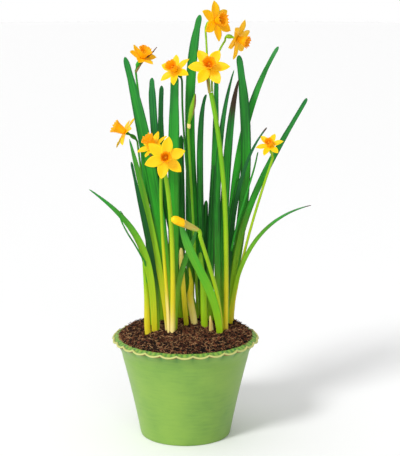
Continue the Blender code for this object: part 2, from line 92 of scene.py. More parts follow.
class PotLook(bpy.types.PropertyGroup):
    glaze: colour("Glaze", "Satin green glaze of the body", tint(128, 165, 66))
    glaze_deep: colour("Pooled glaze", "Glaze where it lies thick", tint(58, 118, 54))
    edge: colour("Edge", "Pale glaze on the rolled edge of the lip", tint(186, 190, 112))
    line: colour("Edge line", "Bare line under the rolled edge", tint(140, 88, 38))
    scallops: count("Scallops", "Lobes round the lip", 28)
    notch: length("Notch", "How far the notches between lobes are drawn in", 0.0013)
    droop: length("Droop", "How far the lobes hang below the notches", 0.0020)
    wall: length("Wall", "Thickness of the pot's wall", 0.0040)
    floor: length("Floor", "Thickness of the pot's floor", 0.0060)


class PeatLook(bpy.types.PropertyGroup):
    # The dark peat fills the low places of the mound and its lumps; towards the back of the mound
    # it also stands for painted shade.
    dark: colour("Dark peat", "Damp peat in the hollows", tint(20, 12, 8))
    brown: colour("Brown peat", "Peat on the lumps", tint(116, 66, 42))
    straw: colour("Straw", "Palest fibres", tint(192, 150, 104))
    lumps: length("Lumps", "Height of the lumps on the mound", 0.0036)
    fibres: number("Fibres", "Fibres on a square metre of peat", 380000.0)
    crumbs: number("Crumbs", "Crumbs on a square metre of peat", 110000.0)
    fibre_length: length("Fibre length", "Length of the longest fibres", 0.0090)
    crumb_size: length("Crumb size", "Radius of the largest crumbs", 0.0017)


class GreensLook(bpy.types.PropertyGroup):
    green: colour("Green", "Grown leaf and stem", tint(42, 156, 30))
    deep: colour("Deep green", "Shaded and older leaf", tint(6, 76, 16))
    blue: colour("Tip green", "Bluish bloom towards the tips", tint(24, 108, 62))
    lime: colour("Lime", "Lower part of leaf and stem", tint(136, 182, 14))
    yellow: colour("Yellow", "Stem just above the peat", tint(206, 190, 22))
    cream: colour("Cream", "Blanched foot in the peat", tint(240, 220, 140))
    withered: colour("Withered", "Dried tip", tint(62, 44, 30))
    leaf_edge: length("Leaf edge", "Thickness of a leaf's edge", 0.0004)


class FlowerLook(bpy.types.PropertyGroup):
    yellow: colour("Yellow", "Petals", tint(255, 195, 0))
    lemon: colour("Lemon", "Thin edges of the petals", tint(244, 220, 6))
    gold: colour("Gold", "Foot of the petals", tint(255, 184, 0))
    orange: colour("Orange", "Corona", tint(255, 174, 0))
    # Rust also carries the painted shade deep in the corona's throat.
    rust: colour("Rust", "Rim and throat of the corona", tint(246, 136, 6))
    pollen: colour("Pollen", "Anthers", tint(240, 160, 24))
    petal_width: number("Petal width", "Full width of a petal, as a share of its length", 0.54)
    petal_thickness: length("Petal thickness", "Thickness of a petal", 0.00045)
    frill: number("Frill", "Waves round the corona's rim, as a share of its radius", 0.10)


class PaperLook(bpy.types.PropertyGroup):
    paper: colour("Paper", "Dry sheath behind the flowers", tint(190, 156, 70))
    brown: colour("Brown paper", "Withered end of a dry sheath", tint(104, 64, 36))
    skin: colour("Bulb skin", "Dry outer skin of a bulb", tint(134, 84, 46))
    skin_dark: colour("Bulb skin lines", "Lines and torn places of the skin", tint(74, 42, 24))


class StageLook(bpy.types.PropertyGroup):
    floor: colour("Floor", "Pale floor", (0.90, 0.90, 0.90))
    sky: number("Sky", "Strength of the even light from all round", 0.76)
    key: number("Key", "Strength of the main light, from the left", 1.95)
    fill: number("Fill", "Power of the soft lamp in front, in watts", 5.0)


class DaffodilLooks(bpy.types.PropertyGroup):
    pot: bpy.props.PointerProperty(name="Pot", description="Glazed pot", type=PotLook)
    peat: bpy.props.PointerProperty(name="Peat", description="Mound of peat", type=PeatLook)
    greens: bpy.props.PointerProperty(name="Greens", description="Leaves and stems",
                                      type=GreensLook)
    flower: bpy.props.PointerProperty(name="Flowers", description="Open flowers",
                                      type=FlowerLook)
    paper: bpy.props.PointerProperty(name="Dry sheaths", description="Papery pieces and bulbs",
                                     type=PaperLook)
    stage: bpy.props.PointerProperty(name="Stage", description="Floor and light", type=StageLook)


# ---- materials -------------------------------------------------------------------------------
class Value:
    """A number that varies over a surface: arithmetic on it adds Math nodes to its graph."""

    def __init__(self, graph, socket):
        self.graph = graph
        self.socket = socket

    def math(self, operation, *others):
        return self.graph.add("ShaderNodeMath", {"operation": operation},
                              dict(enumerate((self, *others))))

    def __add__(self, other):
        return self.math("ADD", other)

    def __mul__(self, other):
        return self.math("MULTIPLY", other)

    def __sub__(self, other):
        return self.math("SUBTRACT", other)

    def __rsub__(self, other):
        return self.graph.add("ShaderNodeMath", {"operation": "SUBTRACT"}, {0: other, 1: self})

    __radd__ = __add__
    __rmul__ = __mul__

    def between(self, low, high):
        """0 below the low value, 1 above the high one, smooth between."""
        return self.graph.add("ShaderNodeMapRange", {"interpolation_type": "SMOOTHSTEP"},
                              {"Value": self, "From Min": low, "From Max": high})

    def sine(self):
        return self.math("SINE")

    def size(self):
        return self.math("ABSOLUTE")


class Graph:
    """Nodes of a material or the world. add() makes any node and gives its first socket in use."""

    def __init__(self, owner):
        owner.use_nodes = True
        self.tree = owner.node_tree

    def plug(self, socket, value):
        if isinstance(value, Value):
            self.tree.links.new(value.socket, socket)
        elif socket.type == "RGBA" and len(value) == 3:
            socket.default_value = (*value, 1.0)
        else:
            socket.default_value = value

    def add(self, kind, settings=None, inputs=None, output=None):
        node = self.tree.nodes.new(kind)
        for name, value in (settings or {}).items():
            setattr(node, name, value)
        for name, value in (inputs or {}).items():
            self.plug(node.inputs[name], value)
        if output is None:
            output = next(i for i, socket in enumerate(node.outputs) if socket.enabled)
        return Value(self, node.outputs[output])

    def axes(self, place):
        """The three parts of a place."""
        node = self.add("ShaderNodeSeparateXYZ", inputs={0: place}).socket.node
        return [Value(self, socket) for socket in node.outputs]


class Finish(Graph):
    """One material, begun with the values that are the same all over it."""

    def __init__(self, name, **uniform):
        self.material = bpy.data.materials.new(name)
        super().__init__(self.material)
        self.shader = self.tree.nodes["Principled BSDF"]
        self.set(**uniform)

    def set(self, **sockets):
        for socket, value in sockets.items():
            self.plug(self.shader.inputs[socket.replace("_", " ")], value)
        return self.material

    def place(self):
        return self.add("ShaderNodeTexCoord", output="Object")

    def attributes(self, *names):
        return [self.add("ShaderNodeAttribute", {"attribute_name": name}, output="Fac")
                for name in names]

    def noise(self, place, scale, detail, roughness=0.5):
        return self.add("ShaderNodeTexNoise", inputs={
            "Vector": place, "Scale": scale, "Detail": detail, "Roughness": roughness})

    def drawn_noise(self, parts, scales, detail):
        """Noise that is drawn out: each part of the place has its own scale."""
        scaled = {i: part * scale for i, (part, scale) in enumerate(zip(parts, scales))}
        return self.noise(self.add("ShaderNodeCombineXYZ", inputs=scaled), 1.0, detail)

    def mix(self, share, low, high):
        """Two colours mixed."""
        node = self.add("ShaderNodeMix", {"data_type": "RGBA"}, {0: share}).socket.node
        self.plug(node.inputs[6], low)
        self.plug(node.inputs[7], high)
        return Value(self, node.outputs[2])

    def bump(self, height, distance, strength=1.0):
        self.set(Normal=self.add("ShaderNodeBump", inputs={
            "Height": height, "Distance": distance, "Strength": strength}))


def tissue(name, weight, radius):
    """A material of living tissue, which light goes a little way into."""
    return Finish(name, Specular_IOR_Level=0.25, Subsurface_Weight=weight,
                  Subsurface_Scale=0.002, Subsurface_Radius=radius)


def glaze_finish(look):
    """Satin glaze: pooled and thin places, a pale edge and the bare line under it."""
    finish = Finish("satin_glaze", Specular_IOR_Level=0.35, Coat_Weight=0.08, Coat_Roughness=0.2)
    place = finish.place()
    cloud = finish.noise(place, 22.0, 4.0)
    speck = finish.noise(place, 900.0, 2.0)
    brush = finish.drawn_noise(finish.axes(place), (60.0, 60.0, 500.0), 3.0)
    edge, hollow = finish.attributes("edge", "hollow")
    body = finish.mix((cloud * 0.8 + brush * 0.30 + hollow * 0.8).between(0.35, 1.25),
                      look.glaze, look.glaze_deep)
    body = finish.mix(speck.between(0.62, 0.80) * 0.35, body, look.glaze_deep)
    ragged = edge + (cloud - 0.5) * 0.5 + (speck - 0.5) * 0.25
    lined = finish.mix(ragged.between(0.22, 0.40), body, look.line)
    colours = finish.mix(ragged.between(0.52, 0.70), lined, look.edge)
    finish.bump(cloud * 0.6 + speck * 0.12 + brush * 0.2, 0.0004, 0.35)
    return finish.set(Base_Color=colours, Roughness=0.36 + speck * 0.14 + edge * 0.12)


def peat_finish(look, name, lift):
    """Crumbly peat. The shade attribute runs from dark grains to pale straw; the back of the mound
    gets painted shade.
    """
    finish = Finish(name, Specular_IOR_Level=0.2)
    place = finish.place()
    lumps = finish.noise(place, 240.0, 6.0, 0.65)
    grains = finish.noise(place, 1500.0, 3.0)
    # Painted shade: towards the back of the mound (+Y) the peat is drawn darker.
    back = finish.axes(place)[1].between(-0.01, 0.05)
    shade, = finish.attributes("shade")
    shade = shade * 1.25 + (lumps - 0.5) * 0.6 - back * 0.4 + lift
    brown = finish.mix(shade.between(0.15, 0.75), look.dark, look.brown)
    colours = finish.mix(shade.between(0.70, 1.15), brown, look.straw)
    finish.bump(lumps + grains * 0.4, 0.0012, 0.8)
    return finish.set(Base_Color=colours, Roughness=0.86 + grains * 0.12)


def greens_finish(look, name):
    """Leaf and stem: parallel veins, blanched foot, bluish tip, a withered end, and painted shade
    along the leaf edges.
    """
    finish = tissue(name, 0.05, (0.6, 1.0, 0.2))
    across, along, side, pale, tone, tip, dry = finish.attributes(
        "across", "along", "side", "pale", "tone", "tip", "dry")
    streaks = finish.drawn_noise((across, along, tone), (1600.0, 14.0, 9.0), 3.0)
    patches = finish.drawn_noise((across, along, tone), (120.0, 28.0, 5.0), 2.0)
    veins = (across * 7200.0).sine() * 0.5 + 0.5
    # Painted shade: leaves and sheaths are drawn darker towards their edges.
    rim = side.size().between(0.5, 1.0)
    depth = (0.34 + rim * 0.4 - tone * 0.8 + (streaks - 0.5) * 1.9 + (patches - 0.5) * 1.1
             + veins * 0.15)
    green = finish.mix(depth.between(0.0, 1.0), look.green, look.deep)
    green = finish.mix(tip * (0.35 + patches * 0.35), green, look.blue)
    fade = pale + (streaks - 0.5) * 0.22 + (patches - 0.5) * 0.12
    lime = finish.mix(fade.between(0.05, 0.5), green, look.lime)
    yellow = finish.mix(fade.between(0.45, 0.78), lime, look.yellow)
    cream = finish.mix(fade.between(0.78, 1.0), yellow, look.cream)
    colours = finish.mix((dry + (streaks - 0.5) * 0.3).between(0.2, 0.8), cream, look.withered)
    finish.bump(veins * 0.5 + streaks * 0.7, 0.00025, 0.55)
    return finish.set(Base_Color=colours, Roughness=0.36 + streaks * 0.16)


def petal_finish(look):
    """Petals: golden towards the foot and lemon at their thin edges."""
    finish = tissue("petal", 0.06, (1.0, 0.6, 0.1))
    across, along, warm = finish.attributes("across", "along", "tone")
    veins = finish.drawn_noise((across, along, warm), (11.0, 2.2, 7.0), 3.0)
    edge = across.size().between(0.66, 1.0) * 0.6 + along.between(0.82, 1.0) * 0.3
    base = finish.mix((1.0 - along.between(0.05, 0.45)) * 0.75 + warm * 0.5,
                      look.yellow, look.gold)
    base = finish.mix(veins.between(0.45, 0.8) * 0.4, base, look.gold)
    colours = finish.mix(edge * (1.0 - warm * 0.6), base, look.lemon)
    finish.bump(veins, 0.0004, 0.6)
    return finish.set(Base_Color=colours, Roughness=0.42 + veins * 0.15)


def corona_finish(look):
    """The corona: orange, with a darker rim, and painted shade deep in its throat."""
    finish = tissue("corona", 0.06, (1.0, 0.4, 0.1))
    across, along, inside, warm = finish.attributes("across", "along", "pale", "tone")
    veins = finish.drawn_noise((across, along, inside), (26.0, 1.6, 3.0), 3.0)
    body = finish.mix(along.between(0.0, 0.35) * (0.35 + warm * 0.75), look.gold, look.orange)
    rim = (along.between(0.72, 1.0) * 0.35 + veins.between(0.5, 0.8) * 0.3) * (0.4 + warm)
    colours = finish.mix(rim, body, look.rust)
    # Painted shade: deep inside the corona the throat is drawn a deeper rust.
    throat = inside * (1.0 - along.between(0.05, 0.7))
    colours = finish.mix(throat * 0.3, colours, look.rust)
    finish.bump(veins, 0.0004, 0.7)
    return finish.set(Base_Color=colours, Roughness=0.42 + veins * 0.15)


def pollen_finish(look):
    """Stamens and style: grainy anthers, paler where the tone attribute is high."""
    finish = Finish("pollen", Roughness=0.9)
    grains = finish.noise(finish.place(), 5200.0, 2.0)
    tone, = finish.attributes("tone")
    colours = finish.mix(tone, look.pollen, look.lemon)
    colours = finish.mix(grains.between(0.4, 0.7) * 0.5, colours, look.rust)
    finish.bump(grains, 0.0002)
    return finish.set(Base_Color=colours)


def paper_finish(look, greens):
    """Dry spathe: thin brown paper with long veins, greener where it is still alive."""
    finish = Finish("dry_sheath", Subsurface_Weight=0.15, Subsurface_Scale=0.002)
    across, along, dry, pale = finish.attributes("across", "along", "dry", "pale")
    veins = finish.drawn_noise((across, along, pale), (2200.0, 60.0, 1.0), 4.0)
    fresh = finish.mix(pale, greens.lime, greens.cream)
    paper = finish.mix(veins.between(0.35, 0.7), look.paper, fresh)
    colours = finish.mix((dry + (veins - 0.5) * 0.5).between(0.1, 0.9), paper, look.brown)
    finish.bump(veins, 0.0004, 0.8)
    return finish.set(Base_Color=colours, Roughness=0.5 + veins * 0.2)


def skin_finish(look):
    """Dry skin of a bulb, with lines from its nose to its root."""
    finish = Finish("bulb_skin")
    place = finish.place()
    lines = finish.drawn_noise(finish.axes(place), (900.0, 900.0, 60.0), 4.0)
    torn = finish.noise(place, 160.0, 3.0)
    colours = finish.mix(lines.between(0.35, 0.7) * 0.7 + torn.between(0.5, 0.7) * 0.3,
                         look.skin, look.skin_dark)
    finish.bump(lines, 0.0004)
    return finish.set(Base_Color=colours, Roughness=0.5 + lines * 0.25)


# ---- reading the frame ------------------------------------------------------------------------
def merged(node):
    """A CAD node's mesh with its loose triangles joined, as a bmesh."""
    mesh = bmesh.new()
    mesh.from_mesh(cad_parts[node].data)
    bmesh.ops.remove_doubles(mesh, verts=mesh.verts, dist=0.01 * MM)
    return mesh


def corners_of(node):
    """The points of a CAD node."""
    mesh = merged(node)
    points = np.array([vertex.co for vertex in mesh.verts])
    mesh.free()
    return points


def node_rings(node):
    """The rings of points along a leaf or a stem, from its foot up."""
    mesh = merged(node)
    lowest = min(vertex.co.z for vertex in mesh.verts)
    ring = [vertex for vertex in mesh.verts if vertex.co.z < lowest + MM]
    seen = set(ring)
    rings = []
    while ring:
        rings.append(np.array([vertex.co for vertex in ring]))
        beyond = []
        for vertex in ring:
            for edge in vertex.link_edges:
                other = edge.other_vert(vertex)
                if other not in seen:
                    seen.add(other)
                    beyond.append(other)
        ring = beyond
    mesh.free()
    return rings


def unit(vector):
    return vector / np.linalg.norm(vector)


def leaf_lines(node):
    """A leaf's left edge, middle and right edge, one point for each ring of its CAD solid."""
    rings = node_rings(node)
    middles = [ring.mean(axis=0) for ring in rings]
    far = rings[0][np.argmax(np.linalg.norm(rings[0] - middles[0], axis=1))] - middles[0]
    side = far if far[0] > 0 else -far
    lines = []
    for i, ring in enumerate(rings):
        ahead = middles[min(i + 1, len(rings) - 1)] - middles[max(i - 1, 0)]
        side = unit(side - unit(ahead) * side.dot(unit(ahead)))
        order = np.argsort((ring - middles[i]) @ side)
        lines.append([ring[order[k:k + 2]].mean(axis=0) for k in (0, 2, 4)])
        side = lines[-1][2] - lines[-1][0]
    return np.array(lines).transpose(1, 0, 2)


def stem_line(node):
    """A stem's middle line and its radius at each point."""
    rings = node_rings(node)
    middles = np.array([ring.mean(axis=0) for ring in rings])
    radii = np.array([np.linalg.norm(ring - middle, axis=1).mean()
                      for ring, middle in zip(rings, middles)])
    return middles, radii


def flower_frame(flower):
    """Where a flower stands: its centre, the way it faces, its petal tips and its corona."""
    cup = corners_of("corona_" + flower)
    disc = corners_of("petals_" + flower)
    values, vectors = np.linalg.eigh(np.cov((cup - cup.mean(axis=0)).T))
    odd = int(np.argmax(np.abs(values - np.median(values))))
    facing = vectors[:, odd]
    if facing @ (cup.mean(axis=0) - disc.mean(axis=0)) < 0:
        facing = -facing
    off_axis = np.linalg.norm(np.cross(disc - disc.mean(axis=0), facing), axis=1)
    centre = disc[np.argsort(off_axis)[:2]].mean(axis=0)
    tips = disc[np.argsort(off_axis)[-12:]] - centre
    forward = (tips @ facing).mean()
    heights = (cup - centre) @ facing
    mouth = np.linalg.norm(np.cross(cup - centre, facing), axis=1).max()
    flat = tips - np.outer(tips @ facing, facing)
    return {"centre": centre, "facing": facing, "first": unit(flat[-1]),
            "petal": np.linalg.norm(flat, axis=1).max(), "forward": forward,
            "foot": heights.min(), "height": heights.max(), "mouth": mouth}


def smooth(points, steps):
    """Points on a smooth curve through the given ones, so many steps between each two."""
    points = np.asarray(points, float)
    padded = [2 * points[0] - points[1], *points, 2 * points[-1] - points[-2]]
    result = []
    for a, b, c, d in zip(padded, padded[1:], padded[2:], padded[3:]):
        for t in np.arange(steps) / steps:
            result.append(0.5 * (2 * b + (c - a) * t + (2 * a - 5 * b + 4 * c - d) * t ** 2
                                 + (3 * b - 3 * c + d - a) * t ** 3))
    return np.array([*result, points[-1]])


# ---- building meshes --------------------------------------------------------------------------
class Shell:
    """Points, faces and named values of one piece while it is being built."""

    def __init__(self):
        self.points = []
        self.faces = []
        self.values = {}

    def loft(self, rings, **values):
        """A closed skin through closed rings of points; a value is one number or one per point."""
        rings = np.asarray(rings, float)
        rows, columns = rings.shape[:2]
        start = sum(len(block) for block in self.points)
        self.points.append(rings.reshape(-1, 3))
        for name, value in values.items():
            full = np.broadcast_to(np.asarray(value, float), (rows, columns))
            self.values.setdefault(name, []).append(full.reshape(-1))
        index = start + np.arange(rows * columns).reshape(rows, columns)
        for low, high in zip(index, index[1:]):
            following = np.roll(low, -1), np.roll(high, -1)
            self.faces += np.stack([low, following[0], following[1], high], axis=1).tolist()
        self.faces.append(index[0][::-1].tolist())
        self.faces.append(index[-1].tolist())

    def mesh(self, name):
        data = bpy.data.meshes.new(name)
        data.from_pydata(np.concatenate(self.points), [], self.faces)
        store(data, {label: np.concatenate(blocks) for label, blocks in self.values.items()})
        close(data)
        return data


def store(data, values):
    """Keep named values on a mesh; each is one number or one per point."""
    for label, value in values.items():
        full = np.broadcast_to(value, len(data.vertices)).astype(np.float32)
        data.attributes.new(label, "FLOAT", "POINT").data.foreach_set("value", full)


def turns_of(count):
    """The angles of so many even steps round a circle."""
    return 2 * pi * np.arange(count) / count


def circle(radius, turns, height):
    """Points round the Z axis; the radius and the height are one number or one per point."""
    return np.stack([radius * np.cos(turns), radius * np.sin(turns),
                     np.broadcast_to(height, turns.shape)], axis=1)


def spokes(axis, turns, lean=(0.2, 0.9, 0.3)):
    """Directions at right angles to an axis, one for each angle; the lean says where 0 is."""
    across = unit(np.cross(axis, lean))
    return np.outer(np.cos(turns), across) + np.outer(np.sin(turns), np.cross(axis, across))


def close(data):
    """Join points that lie together, turn the faces outwards and shade the mesh smooth."""
    mesh = bmesh.new()
    mesh.from_mesh(data)
    bmesh.ops.remove_doubles(mesh, verts=mesh.verts, dist=0.000001)
    bmesh.ops.recalc_face_normals(mesh, faces=mesh.faces)
    mesh.to_mesh(data)
    mesh.free()
    data.shade_smooth()


def show(name, data, material, slot, *nodes):
    """Add a finished mesh to the object, in place of the CAD nodes that it stands for."""
    piece = bpy.data.objects.new(name, data)
    bpy.context.scene.collection.objects.link(piece)
    if not data.materials:
        data.materials.append(material)
    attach(piece, BODY)
    if nodes:
        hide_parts(*nodes)
    return piece


def solid_of(piece):
    """The plain mesh that an object's modifiers make."""
    graph = bpy.context.evaluated_depsgraph_get()
    data = bpy.data.meshes.new_from_object(piece.evaluated_get(graph))
    bpy.data.objects.remove(piece, do_unlink=True)
    return data


class NodeTree:
    """A Geometry Nodes tree with named inputs."""

    def __init__(self, name, inputs):
        self.tree = bpy.data.node_groups.new(name, "GeometryNodeTree")
        face = self.tree.interface
        face.new_socket("Geometry", in_out="INPUT", socket_type="NodeSocketGeometry")
        self.sockets = {}
        for label, (kind, value) in inputs.items():
            socket = face.new_socket(label, in_out="INPUT", socket_type="NodeSocket" + kind)
            if value is not None:
                socket.default_value = value
            self.sockets[label] = socket.identifier
        face.new_socket("Geometry", in_out="OUTPUT", socket_type="NodeSocketGeometry")
        self.input = self.tree.nodes.new("NodeGroupInput").outputs

    def add(self, kind, settings=None, inputs=None, output=0):
        node = self.tree.nodes.new(kind)
        for name, value in (settings or {}).items():
            setattr(node, name, value)
        for name, value in (inputs or {}).items():
            if isinstance(value, bpy.types.NodeSocket):
                self.tree.links.new(value, node.inputs[name])
            else:
                node.inputs[name].default_value = value
        return node.outputs[output]

    def end(self, geometry):
        """Close the tree: real geometry with its material."""
        real = self.add("GeometryNodeRealizeInstances", inputs={"Geometry": geometry})
        done = self.add("GeometryNodeSetMaterial",
                        inputs={"Geometry": real, "Material": self.input["Material"]})
        self.tree.links.new(done, self.tree.nodes.new("NodeGroupOutput").inputs[0])

    def run(self, data, **values):
        """The mesh that the tree makes from some geometry."""
        base = bpy.data.objects.new("base", data)
        bpy.context.scene.collection.objects.link(base)
        grow = base.modifiers.new("grow", "NODES")
        grow.node_group = self.tree
        for label, value in values.items():
            grow[self.sockets[label.replace("_", " ")]] = value
        return solid_of(base)


# ---- pot -------------------------------------------------------------------------------------
STEPS_PER_SCALLOP = 14
BODY_HOLLOW = 0.18              # how far the body is drawn in, as a share of its spread
FLARE_DEPTH = 0.017             # of the lip's flare, below its edge
EDGE = 0.0009                   # radius of the rolled edge
ROLL_RISE = 0.0013              # of the rolled edge's middle above the solid's top
CREST_IN = 0.0070               # from the lip in to where it turns over, beside the peat
CREST_RISE = 0.0026             # of that place above the solid's top
FLUTE_DEPTH = 0.0006


def pot_outline(look):
    """Outline of the pot from the middle of its foot, up the outside and down the inside.

    Each point is (radius, height, hold on the scallops, paleness of the edge, hold on the
    flutes)."""
    low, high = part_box("pot")
    corners = corners_of("pot")
    radii, heights = np.hypot(corners[:, 0], corners[:, 1]), corners[:, 2]
    top, lip = high.z, radii.max()
    foot = radii[heights < low.z + MM].max()
    body_top = top - FLARE_DEPTH
    shoulder = radii[np.abs(heights - body_top) < MM].max()
    roll_radius, roll_height = lip - EDGE, top + ROLL_RISE
    crest_radius, crest_height = lip - CREST_IN, top + CREST_RISE
    outline = []

    def add(radius, height, hold=0.0, pale=0.0, fluted=0.0):
        outline.append((radius, height, hold, pale, fluted))

    def outer(height):
        share = height / body_top
        return foot + (shoulder - foot) * share * (1.0 - BODY_HOLLOW * (1.0 - share))

    for radius, height in ((0.0, 0.0), (0.5 * foot, 0.0), (foot - 0.0012, 0.0),
                           (foot - 0.0004, 0.0003), (foot, 0.0012)):
        add(radius, height)
    for height in np.linspace(0.004, body_top, 16):
        add(outer(height), height)
    lift = roll_height - 0.35 * EDGE - body_top
    for share in np.linspace(0.0, 1.0, 12)[1:]:
        add(shoulder + (lip - 1.6 * EDGE - shoulder) * share ** 1.6, body_top + lift * share,
            max(share - 0.45, 0.0) / 0.55, 0.45 * min(max(share - 0.84, 0.0) / 0.08, 1.0))
    for turn in np.radians(np.linspace(-80, 110, 12)):
        add(roll_radius + EDGE * cos(turn), roll_height + EDGE * sin(turn), 1.0, 1.0)
    over = roll_height + 0.4 * EDGE
    for share in np.linspace(0.0, 1.0, 10)[1:]:
        add(roll_radius - EDGE + (crest_radius - roll_radius + EDGE) * share,
            over + (crest_height - over) * sin(pi / 2 * share),
            1.0 - 0.75 * share, 0.10 * (1.0 - share), sin(pi * share))
    inside = shoulder - look.wall
    for share in np.linspace(1.0, 0.0, 9)[1:]:
        add(inside + (crest_radius - inside) * share,
            body_top + (crest_height - body_top) * share, 0.25 * share)
    for height in np.linspace(body_top - 0.006, look.floor, 8):
        add(outer(height) - look.wall, height)
    add(0.0, look.floor)
    return outline


def pot_mesh(look):
    """The pot's outline turned round, with lobes and flutes in its lip."""
    turns = turns_of(look.scallops * STEPS_PER_SCALLOP)
    lobe = np.abs(np.cos(turns * look.scallops / 2)) ** 0.75
    flute = np.cos(turns * look.scallops * 3)
    rings, edges, hollows = [], [], []
    for radius, height, hold, pale, fluted in pot_outline(look):
        wobble = 0.0002 * (np.sin(turns * 3 + 1.0) - 1.0) * hold
        out = max(radius, 1e-7) - hold * look.notch * (1.0 - lobe) + wobble
        rise = height - hold ** 1.5 * look.droop * lobe + FLUTE_DEPTH * flute * fluted
        rings.append(circle(out, turns, rise))
        edges.append(pale)
        hollows.append(hold * (0.15 + 0.6 * (1.0 - lobe)) - 0.5 * flute * fluted)
    shell = Shell()
    shell.loft(rings, edge=np.array(edges)[:, None], hollow=np.array(hollows))
    return shell.mesh("glazed_pot")


# ---- peat ------------------------------------------------------------------------------------
RIM_RADIUS = 0.0668             # of the peat's surface, where it meets the lip
RIM_DROP = 0.0080               # of the rim below the crown
CROWN_SAG = 0.0022              # how far the mound rounds off towards its rim
FALL_START = 0.80               # share of the radius from which it falls to the lip
HEAP = (0.005, 0.022)           # middle of a heap behind the crown
HEAP_HEIGHT = 0.0060
HEAP_SPREAD = 0.0019            # square of its reach
# Height and radius of the peat's side, down the inside of the pot.
PEAT_SIDE = ((0.045, 0.0506), (0.083, 0.0596), (0.0910, 0.0620))
FOOT_RADIUS = 0.0425
FIBRE_RADIUS = 0.00036           # at the middle of its length


def mound_height(x, y, crown, lumps):
    """Height of the peat's surface: a low mound with lumps, falling to the lip."""
    radius = (x * x + y * y) ** 0.5 / RIM_RADIUS
    fall = max(radius - FALL_START, 0.0) / (1.0 - FALL_START)
    base = crown - CROWN_SAG * radius ** 2 - (RIM_DROP - CROWN_SAG) * fall ** 1.6
    base += HEAP_HEIGHT * exp(-((x - HEAP[0]) ** 2 + (y - HEAP[1]) ** 2) / HEAP_SPREAD)
    place = Vector((x, y, 0.0))
    coarse = noise.noise(place * 55.0) + 0.6 * noise.noise(place * 130.0 + Vector((3, 1, 0)))
    fine = noise.noise(place * 420.0)
    calm = 1.0 - 0.6 * min(fall, 1.0)
    return base + lumps * (0.75 * coarse + 0.30 * fine) * calm


def peat_top(look, steps=176, rows=64):
    """Rings of points on the mound, from its rim to its crown."""
    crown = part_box("soil")[1].z
    rings = []
    for share in np.linspace(1.0, 0.0, rows):
        radius = max(RIM_RADIUS * share, 1e-7)
        ring = []
        for turn in turns_of(steps):
            x, y = radius * cos(turn), radius * sin(turn)
            ring.append((x, y, mound_height(x, y, crown, look.lumps)))
        rings.append(ring)
    return np.array(rings)


def peat_mesh(look):
    """The body of the peat: its mound, and its side down the inside of the pot."""
    low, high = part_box("soil")
    top = peat_top(look)
    turns = turns_of(top.shape[1])
    side = [circle(radius, turns, height)
            for height, radius in ((low.z, 0.0001), (low.z, FOOT_RADIUS), *PEAT_SIDE)]
    rings = np.concatenate([side, top])
    shell = Shell()
    shell.loft(rings, shade=np.clip(0.25 + 40.0 * (rings[..., 2] - high.z), 0.0, 0.5))
    return shell.mesh("peat_mound")


def fibre_mesh(reach):
    """One curved fibre, three-sided."""
    shell = Shell()
    rings = []
    for share in np.linspace(-0.5, 0.5, 5):
        thick = FIBRE_RADIUS * (1.0 - 1.2 * share * share)
        bend = 0.18 * reach * (0.25 - share * share)
        rings.append([(reach * share, thick * cos(turn), bend + thick * sin(turn))
                      for turn in (0.0, 2 * pi / 3, 4 * pi / 3)])
    shell.loft(rings)
    return shell.mesh("fibre")


def crumb_mesh(radius):
    """One lump of peat, a ball knocked out of round."""
    ball = bmesh.new()
    bmesh.ops.create_icosphere(ball, subdivisions=2, radius=radius)
    for vertex in ball.verts:
        push = noise.noise(vertex.co * 900.0 + Vector((0.3, 0.7, 0.2)))
        vertex.co *= 1.0 + 0.75 * push
        vertex.co.z *= 0.72
    data = bpy.data.meshes.new("crumb")
    ball.to_mesh(data)
    ball.free()
    return data


def strewing_tree():
    """Geometry Nodes: strew copies of one object over a surface, each turned at random."""
    tree = NodeTree("strew", {
        "Piece": ("Object", None), "Density": ("Float", 100000.0), "Seed": ("Int", 1),
        "Smallest": ("Float", 0.4), "Tilt": ("Float", 0.5), "Material": ("Material", None)})
    add, given = tree.add, tree.input
    spots = add("GeometryNodeDistributePointsOnFaces", {"distribute_method": "RANDOM"},
                {"Mesh": given["Geometry"], "Density": given["Density"], "Seed": given["Seed"]})
    less = add("ShaderNodeMath", {"operation": "MULTIPLY"}, {0: given["Tilt"], 1: -1.0})
    low = add("ShaderNodeCombineXYZ", inputs={"X": less, "Y": less, "Z": 0.0})
    high = add("ShaderNodeCombineXYZ",
               inputs={"X": given["Tilt"], "Y": given["Tilt"], "Z": 2 * pi})
    turn = add("FunctionNodeRandomValue", {"data_type": "FLOAT_VECTOR"},
               {"Min": low, "Max": high, "Seed": 7})

    def share(smallest, seed):
        """A random number from the smallest one to 1."""
        return add("FunctionNodeRandomValue", {"data_type": "FLOAT"},
                   {2: smallest, 3: 1.0, "Seed": seed}, output=1)

    piece = add("GeometryNodeObjectInfo", inputs={"Object": given["Piece"]}, output="Geometry")
    strewn = add("GeometryNodeInstanceOnPoints", inputs={
        "Points": spots, "Instance": piece, "Rotation": turn,
        "Scale": share(given["Smallest"], 8)})
    shaded = add("GeometryNodeStoreNamedAttribute", {"data_type": "FLOAT", "domain": "INSTANCE"},
                 {"Geometry": strewn, "Name": "shade", "Value": share(0.0, 9)})
    tree.end(shaded)
    return tree


def strewn_over(tree, surface, pattern, **values):
    """One mesh of a pattern strewn over a copy of a surface."""
    sample = bpy.data.objects.new("pattern", pattern)
    data = tree.run(surface.copy(), Piece=sample, **values)
    bpy.data.objects.remove(sample)
    return data


# ---- leaves ----------------------------------------------------------------------------------
HEIGHT_STOPS = (0.108, 0.135, 0.175, 0.230, 0.300)
